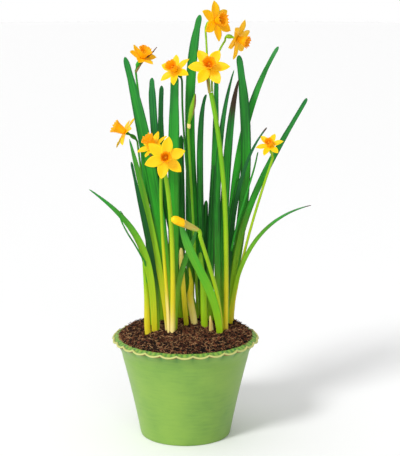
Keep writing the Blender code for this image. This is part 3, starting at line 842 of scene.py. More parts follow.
# How pale a shoot is at each of those heights, from 0 for green to 1 for cream, then its tone,
# from -1 for dark to 1 for bright.
LEAF_TONES = {
    "leaf_01": ((0.75, 0.50, 0.25, 0.08, 0.00), 0.15),
    "leaf_02": ((0.70, 0.40, 0.20, 0.05, 0.00), -0.35),
    "leaf_03": ((0.60, 0.30, 0.12, 0.05, 0.00), -0.10),
    "leaf_04": ((0.70, 0.40, 0.20, 0.10, 0.05), 0.35),
    "leaf_05": ((0.60, 0.30, 0.10, 0.00, 0.00), 0.20),
    "leaf_06": ((0.60, 0.30, 0.10, 0.00, 0.00), -0.20),
    "leaf_07": ((0.60, 0.30, 0.10, 0.00, 0.00), 0.00),
    "leaf_08": ((0.70, 0.40, 0.15, 0.05, 0.00), -0.20),
    "leaf_09": ((0.70, 0.35, 0.15, 0.05, 0.00), -0.10),
    "leaf_10": ((0.80, 0.45, 0.22, 0.10, 0.05), 0.10),
    "leaf_11": ((0.70, 0.35, 0.10, 0.05, 0.00), 0.30),
    "leaf_12": ((0.75, 0.50, 0.35, 0.12, 0.00), 0.00),
    "leaf_13": ((0.60, 0.30, 0.10, 0.00, 0.00), -0.80),
    "leaf_14": ((0.95, 0.72, 0.52, 0.30, 0.12), 0.40),
    "leaf_15": ((0.60, 0.30, 0.05, 0.00, 0.00), -0.75),
    "leaf_16": ((0.72, 0.62, 0.48, 0.15, 0.00), 0.45),
    "leaf_17": ((0.70, 0.40, 0.15, 0.00, 0.00), -0.50),
    "leaf_18": ((0.80, 0.60, 0.35, 0.10, 0.00), 0.00),
    "leaf_19": ((0.55, 0.32, 0.22, 0.15, 0.10), 0.60),
    "leaf_20": ((0.60, 0.35, 0.20, 0.10, 0.00), -0.10),
}
# Share of the length that is dry, for the leaves with a withered tip.
DRY_TIPS = {"leaf_09": 0.20, "leaf_13": 0.04, "leaf_18": 0.05}
LEAF_THICK = 0.0010             # at the middle of its width
LEAF_SIDES = 11                 # points across a leaf
LEAF_STEPS = 6                  # between two rings of its CAD solid
YOUNG_THICK = 0.0009
BLOOM_START = 0.62              # share of the length from which the tip turns bluish
TIP_ROUND = 0.75                # length of a leaf's rounded tip, as a share of its width
TIP_START = 0.70                # share of the length from which a blunt leaf keeps its width
TIP_TAPER = 0.22                # how much narrower it still grows up to its tip
# Width kept to the tip, as a share of the solid's width at TIP_START.
BLUNT = {"leaf_01": 0.60, "leaf_02": 0.85, "leaf_03": 0.75, "leaf_04": 0.90, "leaf_05": 0.78,
         "leaf_06": 0.60, "leaf_07": 0.80, "leaf_10": 0.80, "leaf_11": 0.66, "leaf_12": 0.78,
         "leaf_13": 0.50, "leaf_15": 0.60}


def cross_section(left, middle, right, thick, rim):
    """Points across a leaf, their places from its middle, and its thickness at each."""
    shares = np.linspace(-1.0, 1.0, LEAF_SIDES)
    side = (right - left) / 2
    sag = (left + right) / 2 - middle
    width = np.linalg.norm(side)
    spine = middle + np.outer(shares, side) + np.outer(shares ** 2, sag)
    return spine, shares * width, rim + (thick - rim) * (1.0 - shares ** 2) ** 0.7


def finer_end(points, last=4, times=5):
    """The same line with more points near its end."""
    count = len(points) - 1
    at = np.concatenate([np.arange(count - last),
                         np.linspace(count - last, count, last * times + 1)])
    return np.stack([np.interp(at, np.arange(count + 1), part) for part in points.T], axis=1)


def leaf_rings(lines, thick, rim, blunt=0.0):
    """Rings of points along a leaf, with each point's place across and along it."""
    left, middle, right = (finer_end(smooth(line, LEAF_STEPS)) for line in lines)
    steps = np.linalg.norm(np.diff(middle, axis=0), axis=1)
    along = np.concatenate([[0.0], np.cumsum(steps)])
    widths = np.linalg.norm(right - left, axis=1)
    full = widths.max()
    shares = along / along[-1]
    beyond = np.clip((shares - TIP_START) / (1.0 - TIP_START), 0.0, 1.0)
    kept = blunt * np.interp(TIP_START, shares, widths) * (1.0 - TIP_TAPER * beyond ** 1.5)
    wider = np.where(beyond > 0, np.maximum(kept / np.maximum(widths, 0.0001), 1.0), 1.0)
    rings, acrosses = [], []
    for i in range(len(middle)):
        ahead = unit(middle[min(i + 1, len(middle) - 1)] - middle[max(i - 1, 0)])
        close_to_end = min((along[-1] - along[i]) / (TIP_ROUND * full), 1.0)
        shrink = max(max(1.0 - (1.0 - close_to_end) ** 2, 0.0) ** 0.5, 0.04) * wider[i]
        edges = [middle[i] + (edge - middle[i]) * shrink for edge in (left[i], right[i])]
        shrink = min(shrink, 1.0)
        spine, across, depth = cross_section(edges[0], middle[i], edges[1],
                                             thick * (0.35 + 0.65 * shrink), rim * shrink)
        normal = unit(np.cross(ahead, edges[1] - edges[0]))
        front = spine - normal * depth[:, None] / 2
        back = spine + normal * depth[:, None] / 2
        rings.append(np.concatenate([front, back[::-1]]))
        acrosses.append(np.concatenate([across, across[::-1]]))
    return np.array(rings), np.array(acrosses), along


def side_of(across):
    """Places across a leaf as shares, from -1 at one edge to 1 at the other."""
    return across / np.abs(across).max(axis=1, keepdims=True)


def paleness(rings, stops):
    """How pale each point is, from its height."""
    return np.interp(rings[..., 2], HEIGHT_STOPS, stops)


def leaf_mesh(node, look):
    """A strap leaf round the lines of its CAD solid."""
    rings, across, along = leaf_rings(leaf_lines(node), LEAF_THICK, look.leaf_edge,
                                      BLUNT.get(node, 0.0))
    stops, tone = LEAF_TONES[node]
    share = along / along[-1]
    tip = np.clip((share - BLOOM_START) / (1.0 - BLOOM_START), 0.0, 1.0)[:, None]
    dry = np.zeros(len(along))
    if node in DRY_TIPS:
        dry = np.clip((share - 1.0 + DRY_TIPS[node]) / DRY_TIPS[node] * 1.4, 0.0, 1.0)
    shell = Shell()
    shell.loft(rings, across=across, side=side_of(across), along=along[:, None],
               pale=paleness(rings, stops), tone=tone, tip=tip, dry=dry[:, None])
    return shell.mesh(node.replace("leaf", "blade"))


# ---- stems -----------------------------------------------------------------------------------
# How pale each stem is at the same heights as the leaves, and its tone.
STEM_TONES = {
    "stem_left_centre": ((0.60, 0.40, 0.25, 0.15, 0.10), -0.45),
    "stem_upper_left": ((0.60, 0.40, 0.25, 0.15, 0.15), 0.20),
    "stem_left": ((0.80, 0.70, 0.50, 0.30, 0.15), 0.10),
    "stem_front": ((1.00, 0.84, 0.66, 0.46, 0.36), 0.50),
    "stem_behind": ((1.00, 0.92, 0.72, 0.45, 0.30), 0.40),
    "stem_right": ((0.78, 0.70, 0.60, 0.52, 0.50), 0.20),
    "scape_trio": ((0.84, 0.74, 0.60, 0.46, 0.30), 0.60),
    "pedicel_top_left": ((0.45, 0.45, 0.45, 0.45, 0.45), 0.30),
    "pedicel_top_right": ((0.45, 0.45, 0.45, 0.45, 0.45), 0.30),
    "pedicel_centre": ((0.50, 0.50, 0.50, 0.50, 0.50), 0.40),
    "stem_bud_nodding": ((0.70, 0.58, 0.50, 0.44, 0.40), 0.40),
    "stem_bud_upright": ((0.60, 0.45, 0.35, 0.28, 0.25), 0.10),
}
STEM_STEPS = 7
STOUTER = {"stem_bud_nodding": 1.5, "stem_behind": 1.5, "stem_front": 1.2}
TAPER = (0.018, 0.060)          # between these distances from the flower a stem thins to its neck
OVARY_BACK = 0.0085             # from the back of the petals to the middle of the ovary
OVARY_HALF = 0.0030
OVARY_RADIUS = 0.0021
THROAT_RADIUS = 0.0024          # of the flower's tube where it meets the petals
THROAT_LENGTH = 0.0045


def stem_tree():
    """Geometry Nodes: a round stem along a curve, as thick as the curve's own radius."""
    tree = NodeTree("stem", {"Sides": ("Int", 16), "Material": ("Material", None)})
    circle = tree.add("GeometryNodeCurvePrimitiveCircle",
                      inputs={"Resolution": tree.input["Sides"], "Radius": 1.0})
    reach = tree.add("GeometryNodeSplineParameter", output="Length")
    marked = tree.add("GeometryNodeStoreNamedAttribute", {"data_type": "FLOAT"}, {
        "Geometry": tree.input["Geometry"], "Name": "along", "Value": reach})
    around = tree.add("GeometryNodeSplineParameter", output="Factor")
    ring = tree.add("GeometryNodeStoreNamedAttribute", {"data_type": "FLOAT"}, {
        "Geometry": circle, "Name": "around", "Value": around})
    radius = tree.add("GeometryNodeInputRadius")
    tube = tree.add("GeometryNodeCurveToMesh", inputs={
        "Curve": marked, "Profile Curve": ring, "Scale": radius, "Fill Caps": True})
    tree.end(tube)
    return tree


def stem_mesh(tree, node, material):
    """A stem; a flower's stem swells into its ovary and tube behind the petals."""
    points, radii = stem_line(node)
    fine = smooth(points, STEM_STEPS)
    thick = np.interp(np.arange(len(fine)) / STEM_STEPS, np.arange(len(radii)), radii)
    thick = thick * STOUTER.get(node, 1.0)
    if len(points) > 10 and not node.startswith("stem_bud"):
        steps = np.linalg.norm(np.diff(fine, axis=0), axis=1)
        left = np.concatenate([np.cumsum(steps[::-1])[::-1], [0.0]])
        neck = radii[-1]
        plain = np.minimum(thick, np.interp(left, TAPER, (neck, thick.max())))
        swell = (OVARY_RADIUS - neck) * np.exp(-((left - OVARY_BACK) / OVARY_HALF) ** 4)
        flare = (THROAT_RADIUS - neck) * np.clip(1.0 - left / THROAT_LENGTH, 0.0, 1.0) ** 1.5
        thick = plain + swell + flare
    curve = bpy.data.curves.new(node, "CURVE")
    curve.dimensions = "3D"
    spline = curve.splines.new("POLY")
    spline.points.add(len(fine) - 1)
    for knot, place, radius in zip(spline.points, fine, thick):
        knot.co = (*place, 1.0)
        knot.radius = radius
    data = tree.run(curve, Material=material)
    places = np.empty(3 * len(data.vertices))
    data.vertices.foreach_get("co", places)
    around = np.empty(len(data.vertices))
    data.attributes["around"].data.foreach_get("value", around)
    stops, tone = STEM_TONES[node]
    store(data, {"pale": np.interp(places[2::3], HEIGHT_STOPS, stops), "tone": tone,
                 "tip": 0.0, "dry": 0.0, "across": np.sin(around * 2 * pi) * radii.mean()})
    close(data)
    return data


# ---- flowers ---------------------------------------------------------------------------------
FLOWERS = {     # how golden each flower is, how broad its petals are and how orange its corona is
    "top_left": (0.05, 1.00, 0.55), "top_right": (0.20, 0.95, 0.95), "centre": (0.10, 0.98, 0.85),
    "left_centre": (0.15, 0.85, 0.70), "upper_left": (0.20, 1.05, 0.45), "left": (0.30, 0.80, 0.05),
    "front": (0.05, 0.98, 0.60), "behind": (0.05, 0.95, 0.75), "right": (0.20, 0.80, 0.65),
}
PETAL_ROWS = 16
PETAL_SIDES = 9
PETAL_FOOT = 0.0012             # from the middle of the flower to where a petal starts
CORONA_STEPS = 96
CORONA_WALL = 0.00045
CORONA_FOOT = 0.0023            # radius of the corona where it leaves the petals
# Radii along an anther, and along the style from the ovary to its stigma.
ANTHER = (0.00008, 0.00034, 0.00040, 0.00042, 0.00040, 0.00034, 0.00008)
STYLE = (0.00022, 0.00022, 0.00022, 0.00022, 0.00024, 0.00060, 0.00058, 0.00010)


def petal_half_width(share):
    """Half width along a petal as a share of its widest: narrow foot, oval blade, pointed tip."""
    return (1.0 - share) ** 0.9 * (0.36 + 2.6 * share) / 0.89


def petal_rings(place, k, width, look, seed):
    """One petal in the flower's own frame, along +X: rings of points, and where they lie."""
    reach = place["petal"]
    shares = np.linspace(0.0, 1.0, PETAL_ROWS) ** 0.9
    sides = np.linspace(-1.0, 1.0, PETAL_SIDES)
    wave = noise.noise(Vector((seed * 3.7, k * 1.9, 0.5)))
    twist = 0.45 * noise.noise(Vector((seed * 1.3, k * 2.7, 4.5)))
    lift = 0.00035 if k % 2 else -0.00025
    rings, acrosses = [], []
    for share in shares:
        half = 0.5 * width * reach * max(petal_half_width(min(share, 0.9985)), 0.02)
        x = PETAL_FOOT + (reach - PETAL_FOOT) * share
        y = sides * half
        z = place["forward"] * share ** 1.5 + lift * (0.3 + share)
        groove = -0.00035 * np.exp(-(sides / 0.18) ** 2) * sin(pi * share)
        curl = (0.0011 + 0.0008 * wave) * sides ** 2 * sin(pi * share ** 1.4)
        ripple = 0.0006 * wave * np.sin(share * 7.0 + k) * sides * share
        swing = twist * share * half * sides
        spine = np.stack([np.full(PETAL_SIDES, x), y, z + groove + curl + ripple + swing], axis=1)
        depth = look.petal_thickness * (0.25 + 0.75 * (1.0 - sides ** 2)) / 2
        offset = np.outer(depth, (0.0, 0.0, 1.0))
        rings.append(np.concatenate([spine + offset, (spine - offset)[::-1]]))
        acrosses.append(np.concatenate([sides, sides[::-1]]))
    return np.array(rings), np.array(acrosses), shares[:, None]


def flower_matrix(place, turn=0.0):
    """From a flower's own frame, facing +Z with its first petal along +X, to where it stands."""
    facing, first = place["facing"], place["first"]
    axes = np.stack([first, np.cross(facing, first), facing], axis=1)
    spin = np.array([[cos(turn), -sin(turn), 0], [sin(turn), cos(turn), 0], [0, 0, 1]])
    return axes @ spin


def petals_mesh(flower, look):
    """The six petals of an open flower."""
    place = flower_frame(flower)
    warm, broad, _ = FLOWERS[flower]
    seed = list(FLOWERS).index(flower)
    shell = Shell()
    for k in range(6):
        rings, across, along = petal_rings(place, k, look.petal_width * broad, look, seed + 1)
        turned = rings @ flower_matrix(place, k * pi / 3).T + place["centre"]
        shell.loft(turned, across=across, along=along, tone=warm)
    return shell.mesh("tepals_" + flower)


def corona_mesh(flower, look):
    """The frilled trumpet: up its outside, over the rim and down into the throat."""
    place = flower_frame(flower)
    foot, top, mouth = place["foot"], place["height"], place["mouth"]
    around = turns_of(CORONA_STEPS)
    phase = list(FLOWERS).index(flower) * 0.7
    frill = (np.cos(6 * around + phase) * 0.55 + np.cos(11 * around + 2 * phase) * 0.30
             + np.cos(19 * around + phase) * 0.35)
    pleats = np.cos(24 * around + phase)
    outside = [(share, 0.0) for share in np.linspace(0.0, 1.0, 16)]
    inside = [(share, 1.0) for share in np.linspace(0.99, 0.04, 16)]
    rings, alongs, insides = [], [], []
    for share, inner in [(0.0, 0.0), *outside, *inside, (0.04, 1.0)]:
        spread = 0.85 * share ** 0.6 + 0.15 * share ** 3
        radius = CORONA_FOOT + (0.90 * mouth - CORONA_FOOT) * spread
        radius = radius + 0.10 * mouth * share ** 5 - inner * CORONA_WALL
        radius = radius + look.frill * mouth * frill * share ** 3.5 * 0.8
        radius = radius + 0.018 * mouth * pleats * share
        height = foot + CORONA_WALL * inner + (top - foot - 0.0012) * share
        height = height + 0.0007 * share ** 4 * (np.cos(12 * around + phase) + frill * 0.6)
        rings.append(circle(radius, around, height))
        alongs.append(share)
        insides.append(inner)
    for end in (0, -1):
        rings[end][:, :2] *= 0.12
    turned = np.array(rings) @ flower_matrix(place).T + place["centre"]
    shell = Shell()
    shell.loft(turned, across=(around / pi - 1.0)[None, :], along=np.array(alongs)[:, None],
               pale=np.array(insides)[:, None], tone=FLOWERS[flower][2])
    return shell.mesh("trumpet_" + flower)


def rod(start, end, radii, sides=8):
    """Rings of points round a straight rod, one for each of its radii."""
    start, end = np.asarray(start, float), np.asarray(end, float)
    rim = spokes(unit(end - start), turns_of(sides), (0.31, 0.83, 0.46))
    return np.array([start + (end - start) * share + rim * max(radius, 1e-6)
                     for share, radius in zip(np.linspace(0, 1, len(radii)), radii)])


def stamens_mesh(flower):
    """Six anthers round a style, inside the corona."""
    place = flower_frame(flower)
    foot, tall = place["foot"], place["height"] - place["foot"]
    matrix = flower_matrix(place).T
    shell = Shell()

    def grow(start, end, radii, tone):
        shell.loft(rod(start, end, radii) @ matrix + place["centre"], tone=tone)

    for k in range(6):
        turn = k * pi / 3 + 0.4
        out = np.array((cos(turn), sin(turn), 0.0))
        low = out * 0.0011 + np.array((0, 0, foot + 0.18 * tall))
        high = out * 0.0014 + np.array((0, 0, foot + 0.52 * tall))
        grow(low, high, ANTHER, 0.15)
        grow(out * 0.0010 + np.array((0, 0, foot + 0.0005)), low, (0.00016, 0.00016), 0.8)
    grow((0, 0, foot + 0.0005), (0, 0, foot + 0.68 * tall), STYLE, 0.9)
    return shell.mesh("stamens_" + flower)


# ---- buds and sheaths -------------------------------------------------------------------------
BUD_SIDES = 36
BUD_ROWS = 34
BUD_PETALS = 3                  # edges seen round a closed bud
SPATHE_SIDES = 40
SPATHE_ROWS = 14
SPATHE_WALL = 0.0003


def bud_axis(node):
    """Base and tip of a bud's CAD solid, and its radius."""
    points = corners_of(node)
    _, vectors = np.linalg.eigh(np.cov((points - points.mean(axis=0)).T))
    axis = vectors[:, 2]
    stem = stem_line("stem_" + node)[0][-1]
    if axis @ (points.mean(axis=0) - stem) < 0:
        axis = -axis
    reach = (points - stem) @ axis
    off = np.linalg.norm(np.cross(points - points.mean(axis=0), axis), axis=1).max()
    base = stem + axis * 0.0003
    return base, base + axis * (reach.max() - 0.0003), off


def bud_mesh(node, shares, radii, furl):
    """A closed bud: petals wrapped round each other, so its section has three soft steps."""
    base, tip, radius = bud_axis(node)
    turns = turns_of(BUD_SIDES)
    rim = spokes(unit(tip - base), turns)
    along = np.linspace(0.0, 1.0, BUD_ROWS)
    rings = []
    for share in along:
        wrap = (BUD_PETALS * (turns + furl * share) / (2 * pi)) % 1.0
        size = radius * np.interp(share, shares, radii) * (1.0 - 0.10 * wrap)
        rings.append(base + (tip - base) * share + rim * size[:, None])
    shell = Shell()
    shell.loft(rings, across=(turns / pi - 1.0)[None, :], along=along[:, None],
               tone=0.1, pale=0.35, tip=0.0, dry=0.0)
    return shell.mesh(node + "_petals")


def bud_sheath(node, name, reach, radii, ragged):
    """The papery spathe round the lower part of a bud, open and ragged at its top."""
    base, tip, _ = bud_axis(node)
    axis = unit(tip - base)
    turns = turns_of(SPATHE_SIDES)
    rim = spokes(axis, turns) * (1.0 + 0.05 * np.cos(5 * turns + 2.0))[:, None]
    torn = ragged * (np.sin(3 * turns) + 0.6 * np.sin(7 * turns + 1.0))
    shares = np.linspace(0.0, 1.0, SPATHE_ROWS)
    along = np.concatenate([shares, shares[::-1]])
    rings = []
    for share, wall in zip(along, np.repeat((0.0, SPATHE_WALL), SPATHE_ROWS)):
        size = np.interp(share, np.linspace(0, 1, len(radii)), radii) * MM - wall
        up = reach * share * (1.0 + torn * share)
        rings.append(base - axis * 0.003 + np.outer(up, axis) + rim * size)
    shell = Shell()
    shell.loft(rings, across=(np.sin(turns) * 0.004)[None, :], along=along[:, None] * reach,
               pale=0.25, dry=0.35 * along[:, None])
    return shell.mesh(name)


def sheath_mesh(name, path, widths, hollow, pale, dry, thick=0.0004, tone=0.1):
    """A sheath or a young leaf: a strip along a path in millimetres, curled towards its back."""
    path = np.asarray(path, float) * MM
    lines = [[], [], []]
    for i, place in enumerate(path):
        ahead = unit(path[min(i + 1, len(path) - 1)] - path[max(i - 1, 0)])
        side = unit(np.cross(ahead, (0.0, -1.0, 0.0)))
        half = widths[i] / 2 * MM
        back = np.cross(side, ahead) * half * hollow
        for line, point in zip(lines, (place - side * half - back, place,
                                       place + side * half - back)):
            line.append(point)
    rings, across, along = leaf_rings(np.array(lines), thick, 0.5 * thick)
    share = (along / along[-1])[:, None]
    shell = Shell()
    shell.loft(rings, across=across, side=side_of(across), along=along[:, None], tone=tone,
               tip=0.0, pale=np.interp(share, (0, 1), pale), dry=np.interp(share, (0, 1), dry))
    return shell.mesh(name)


def upright_sheath():
    """The brown sheath down the right side of the upright bud."""
    base, tip, radius = bud_axis("bud_upright")
    right = np.array((0.75 * radius, -0.75 * radius, 0.0))
    path = [(base + (tip - base) * share + right * wide) / MM
            for share, wide in ((0.15, 0.5), (0.4, 0.9), (0.7, 0.9), (0.98, 0.3))]
    return sheath_mesh("spathe_bud_upright", path, (1.6, 2.2, 2.0, 0.8), 0.8, (0.4, 0.1),
                       (0.4, 0.9))


def upright_collar():
    """The pale swelling of the stem under the upright bud."""
    base = bud_axis("bud_upright")[0]
    turns = turns_of(20)
    rings = [base + circle(size * MM, turns, up * MM)
             for up, size in ((-5, 1.0), (-4, 1.7), (-2, 1.9), (0, 1.7), (1, 1.2))]
    shell = Shell()
    shell.loft(rings, pale=0.95, tone=0.2, across=(np.sin(turns) * 0.002)[None, :])
    return shell.mesh("collar_bud_upright")


# Each sheath or thin leaf: path and widths along it in millimetres, how far it curls, paleness and
# dryness from its foot to its tip, and whether it is dry paper or green.
SHEATHS = {
    "sheath_centre": (((11, -4, 104), (8, -4, 122), (5, -4, 142), (6, -5, 158), (4, -5, 174)),
                      (6, 7, 6.5, 4, 1.5), 0.5, (1.0, 0.62), (0.0, 0.0), "green"),
    "sheath_pale": (((2, -7, 104), (-1, -8, 140), (-3, -9, 168), (-4, -9, 184), (-4, -9, 195)),
                    (5, 5, 5, 5, 3), 0.5, (0.6, 0.95), (0.0, 0.0), "green"),
    "sheath_cream": (((26, -17, 104), (26, -16, 114), (25, -15, 127)),
                     (5, 4.5, 2), 0.6, (1.0, 0.95), (0.0, 0.1), "paper"),
    "sheath_dull": (((20, -8, 104), (19, -8, 125), (18, -7, 155), (15, -6, 190)),
                    (7, 7, 6, 4), 0.3, (0.55, 0.30), (0.0, 0.0), "green"),
    "sheath_left": (((-37, -22, 104), (-38, -21, 122), (-38.5, -20, 150), (-41, -19, 185)),
                    (6, 6, 5, 3), 0.4, (0.85, 0.35), (0.0, 0.0), "green"),
    "thin_leaf_left": (((-35, -12, 104), (-37, -16, 150), (-39, -28, 182), (-42, -31, 190),
                        (-49, -38, 205), (-56, -43, 218), (-62, -46, 232), (-62, -46, 240)),
                       (1.6, 1.6, 1.6, 1.6, 1.6, 1.5, 1.3, 0.9), 0.2, (0.3, -0.3), (0.0, 0.3),
                       "green"),
    "thin_leaf_right": (((46, -1, 190), (52, -3, 218), (60, -4, 246), (68, -4, 273),
                         (72, -4, 291)), (2, 2, 2, 1.8, 1.2), 0.2, (0.1, -0.3), (0.0, 0.4),
                        "green"),
    "spathe_centre": (((24, -13, 350), (23, -14, 356), (22, -15, 362), (21.5, -15.5, 367)),
                      (2.2, 2.4, 2.0, 1.2), 0.7, (0.1, 0.0), (0.3, 0.8), "paper"),
    "spathe_upper_left": (((-48, -2, 369), (-41, -3, 380), (-33, -4, 387), (-27, -4, 394)),
                          (2.2, 2.0, 1.4, 0.9), 0.8, (0.2, 0.0), (0.5, 1.0), "paper"),
    "spathe_behind": (((-29, -44, 286), (-31, -45, 291), (-34, -46, 296)),
                      (2.4, 2.8, 1.4), 0.6, (0.1, 0.0), (0.7, 1.0), "paper"),
}
# Young leaves behind the grown ones: path in millimetres, width and tone.
YOUNG_LEAVES = (
    (((-33, 2, 100), (-35, 3, 160), (-38, 4, 225), (-43, 5, 300)), 7.0, -0.10),
    (((-24, 10, 100), (-26, 11, 160), (-28, 12, 225), (-31, 13, 290)), 8.5, -0.25),
    (((-12, 15, 100), (-12, 15, 160), (-13, 15, 225), (-14, 14, 290)), 8.0, 0.10),
    (((-5, 17, 100), (-5, 17, 160), (-4, 17, 225), (-4, 16, 305)), 8.5, -0.35),
    (((4, 19, 100), (5, 19, 160), (4, 19, 225), (3, 19, 290)), 8.5, 0.00),
    (((14, 20, 100), (16, 20, 140), (19, 20, 185), (21, 19, 238)), 8.0, -0.50),
    (((25, 14, 100), (25, 15, 150), (26, 16, 210), (28, 16, 275)), 8.0, -0.30),
    (((36, 8, 100), (38, 9, 150), (44, 10, 205), (53, 11, 262)), 7.0, 0.00),
)


# ---- operators -------------------------------------------------------------------------------
class DAFFODIL_OT_pot(bpy.types.Operator):
    """Make the glazed pot with its scalloped lip"""
    bl_idname = "daffodil.pot"
    bl_label = "Glazed Pot"

    def execute(self, context):
        look = context.scene.daffodil_looks.pot
        show("glazed_pot", pot_mesh(look), glaze_finish(look), "pot_glaze", "pot")
        return {"FINISHED"}


class DAFFODIL_OT_peat(bpy.types.Operator):
    """Make the mound of peat with its crumbs and fibres"""
    bl_idname = "daffodil.peat"
    bl_label = "Peat"

    def execute(self, context):
        look = context.scene.daffodil_looks.peat
        ground = peat_finish(look, "peat", 0.0)
        loose = peat_finish(look, "loose_peat", -0.38)
        dry = peat_finish(look, "dry_fibre", -0.02)
        show("peat_mound", peat_mesh(look), ground, "peat", "soil")
        surface = Shell()
        surface.loft(peat_top(look, steps=96, rows=32))
        top = surface.mesh("mound_top")
        tree = strewing_tree()
        crumbs = strewn_over(tree, top, crumb_mesh(look.crumb_size), Density=look.crumbs,
                             Seed=3, Smallest=0.25, Tilt=1.2, Material=loose)
        show("peat_crumbs", crumbs, loose, "peat")
        fibres = strewn_over(tree, top, fibre_mesh(look.fibre_length), Density=look.fibres,
                             Seed=5, Smallest=0.3, Tilt=0.75, Material=dry)
        show("peat_fibres", fibres, dry, "peat")
        return {"FINISHED"}


class DAFFODIL_OT_bulbs(bpy.types.Operator):
    """Give the bulbs in the peat their papery skin"""
    bl_idname = "daffodil.bulbs"
    bl_label = "Bulbs"

    def execute(self, context):
        skin = skin_finish(context.scene.daffodil_looks.paper)
        for name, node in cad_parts.items():
            if name.startswith("bulb_"):
                for slot in node.material_slots:
                    slot.material = skin
        return {"FINISHED"}


class DAFFODIL_OT_leaves(bpy.types.Operator):
    """Make the strap leaves, and the young leaves behind them"""
    bl_idname = "daffodil.leaves"
    bl_label = "Leaves"

    def execute(self, context):
        look = context.scene.daffodil_looks.greens
        material = greens_finish(look, "leaf")
        for node in LEAF_TONES:
            show(node.replace("leaf", "blade"), leaf_mesh(node, look), material, "leaf", node)
        for i, (path, width, tone) in enumerate(YOUNG_LEAVES):
            name = f"young_leaf_{i + 1}"
            data = sheath_mesh(name, path, (width, width, 0.9 * width, 0.5 * width), 0.5,
                               (0.5, -0.4), (0.0, 0.0), thick=YOUNG_THICK, tone=tone)
            show(name, data, material, "leaf")
        return {"FINISHED"}


class DAFFODIL_OT_stems(bpy.types.Operator):
    """Make the flower stems, with the ovary and tube behind each flower"""
    bl_idname = "daffodil.stems"
    bl_label = "Stems"

    def execute(self, context):
        material = greens_finish(context.scene.daffodil_looks.greens, "stem")
        tree = stem_tree()
        for node in STEM_TONES:
            show("stalk_" + node, stem_mesh(tree, node, material), material, "stem", node)
        return {"FINISHED"}


class DAFFODIL_OT_flowers(bpy.types.Operator):
    """Make the petals, coronas and stamens of the open flowers"""
    bl_idname = "daffodil.flowers"
    bl_label = "Flowers"

    def execute(self, context):
        look = context.scene.daffodil_looks.flower
        petal, cup, pollen = petal_finish(look), corona_finish(look), pollen_finish(look)
        for flower in FLOWERS:
            show("tepals_" + flower, petals_mesh(flower, look), petal, "petal",
                 "petals_" + flower)
            show("trumpet_" + flower, corona_mesh(flower, look), cup, "corona",
                 "corona_" + flower)
            show("stamens_" + flower, stamens_mesh(flower), pollen, "corona")
        return {"FINISHED"}


class DAFFODIL_OT_buds(bpy.types.Operator):
    """Make the two buds with their sheaths"""
    bl_idname = "daffodil.buds"
    bl_label = "Buds"

    def execute(self, context):
        looks = context.scene.daffodil_looks
        petal = petal_finish(looks.flower)
        green = greens_finish(looks.greens, "bud_green")
        paper = paper_finish(looks.paper, looks.greens)
        nodding = bud_mesh("bud_nodding", (0, 0.1, 0.35, 0.6, 0.82, 0.95, 1.0),
                           (0.4, 0.45, 0.62, 0.95, 1.0, 0.7, 0.05), 1.2)
        show("closed_bud_nodding", nodding, petal, "bud", "bud_nodding")
        spathe = bud_sheath("bud_nodding", "spathe_bud_nodding", 0.0185,
                            (1.5, 2.2, 3.0, 3.3, 3.9), 0.06)
        show("spathe_bud_nodding", spathe, paper, "bud")
        upright = bud_mesh("bud_upright", (0, 0.08, 0.3, 0.55, 0.85, 1.0),
                           (0.7, 0.6, 0.95, 1.0, 0.5, 0.04), 0.8)
        show("closed_bud_upright", upright, green, "bud", "bud_upright")
        show("spathe_bud_upright", upright_sheath(), paper, "bud")
        show("collar_bud_upright", upright_collar(), green, "bud")
        return {"FINISHED"}


class DAFFODIL_OT_sheaths(bpy.types.Operator):
    """Make the sheaths round the shoots and behind the flowers, and two thin leaves"""
    bl_idname = "daffodil.sheaths"
    bl_label = "Sheaths"

    def execute(self, context):
        looks = context.scene.daffodil_looks
        materials = {"paper": paper_finish(looks.paper, looks.greens),
                     "green": greens_finish(looks.greens, "sheath")}
        for name, (path, widths, hollow, pale, dry, kind) in SHEATHS.items():
            data = sheath_mesh(name, path, widths, hollow, pale, dry)
            show(name, data, materials[kind], "bud" if kind == "paper" else "leaf")
        return {"FINISHED"}


MIDDLE = (0.0, 0.0, 0.22)       # what the lamps are turned to
KEY_PLACE = (-1.0, -1.25, 1.55)
FILL_PLACE = (0.3, -1.7, 1.0)
SKY_LEFT = 1.35                 # strength of the even light from the left, as a share
SKY_RIGHT = 0.55
AIM = (0.0148, 0.0, 0.2133)     # what the camera is turned to
CAMERA_RISE = 11.84             # degrees above level
CAMERA_DISTANCE = 1.5
CAMERA_LENS = 118.5


def hold(name, data, place, aim):
    """A lamp or the camera at its place, turned to its aim."""
    holder = bpy.data.objects.new(name, data)
    bpy.context.scene.collection.objects.link(holder)
    holder.location = place
    holder.rotation_euler = (Vector(aim) - Vector(place)).to_track_quat("-Z", "Y").to_euler()
    return holder


def lamp(name, kind, place, power):
    light = bpy.data.lights.new(name, kind)
    light.energy = power
    hold(name, light, place, MIDDLE)
    return light


def studio_world(strength):
    """Soft light from all round, weaker on the right, and a plain white backdrop."""
    world = bpy.data.worlds.new("studio")
    graph = Graph(world)
    nodes = graph.tree.nodes
    white = (1.0, 1.0, 1.0)
    across = graph.axes(graph.add("ShaderNodeTexCoord", output="Generated"))[0]
    fade = graph.add("ShaderNodeMapRange", inputs={
        "Value": across, "From Min": -1.0, "From Max": 1.0,
        "To Min": SKY_LEFT * strength, "To Max": SKY_RIGHT * strength})
    sky = nodes["Background"]
    graph.plug(sky.inputs["Color"], white)
    graph.plug(sky.inputs["Strength"], fade)
    backdrop = graph.add("ShaderNodeBackground", inputs={"Color": white})
    seen = graph.add("ShaderNodeLightPath", output="Is Camera Ray")
    both = graph.add("ShaderNodeMixShader",
                     inputs={0: seen, 1: Value(graph, sky.outputs[0]), 2: backdrop})
    graph.plug(nodes["World Output"].inputs["Surface"], both)
    return world


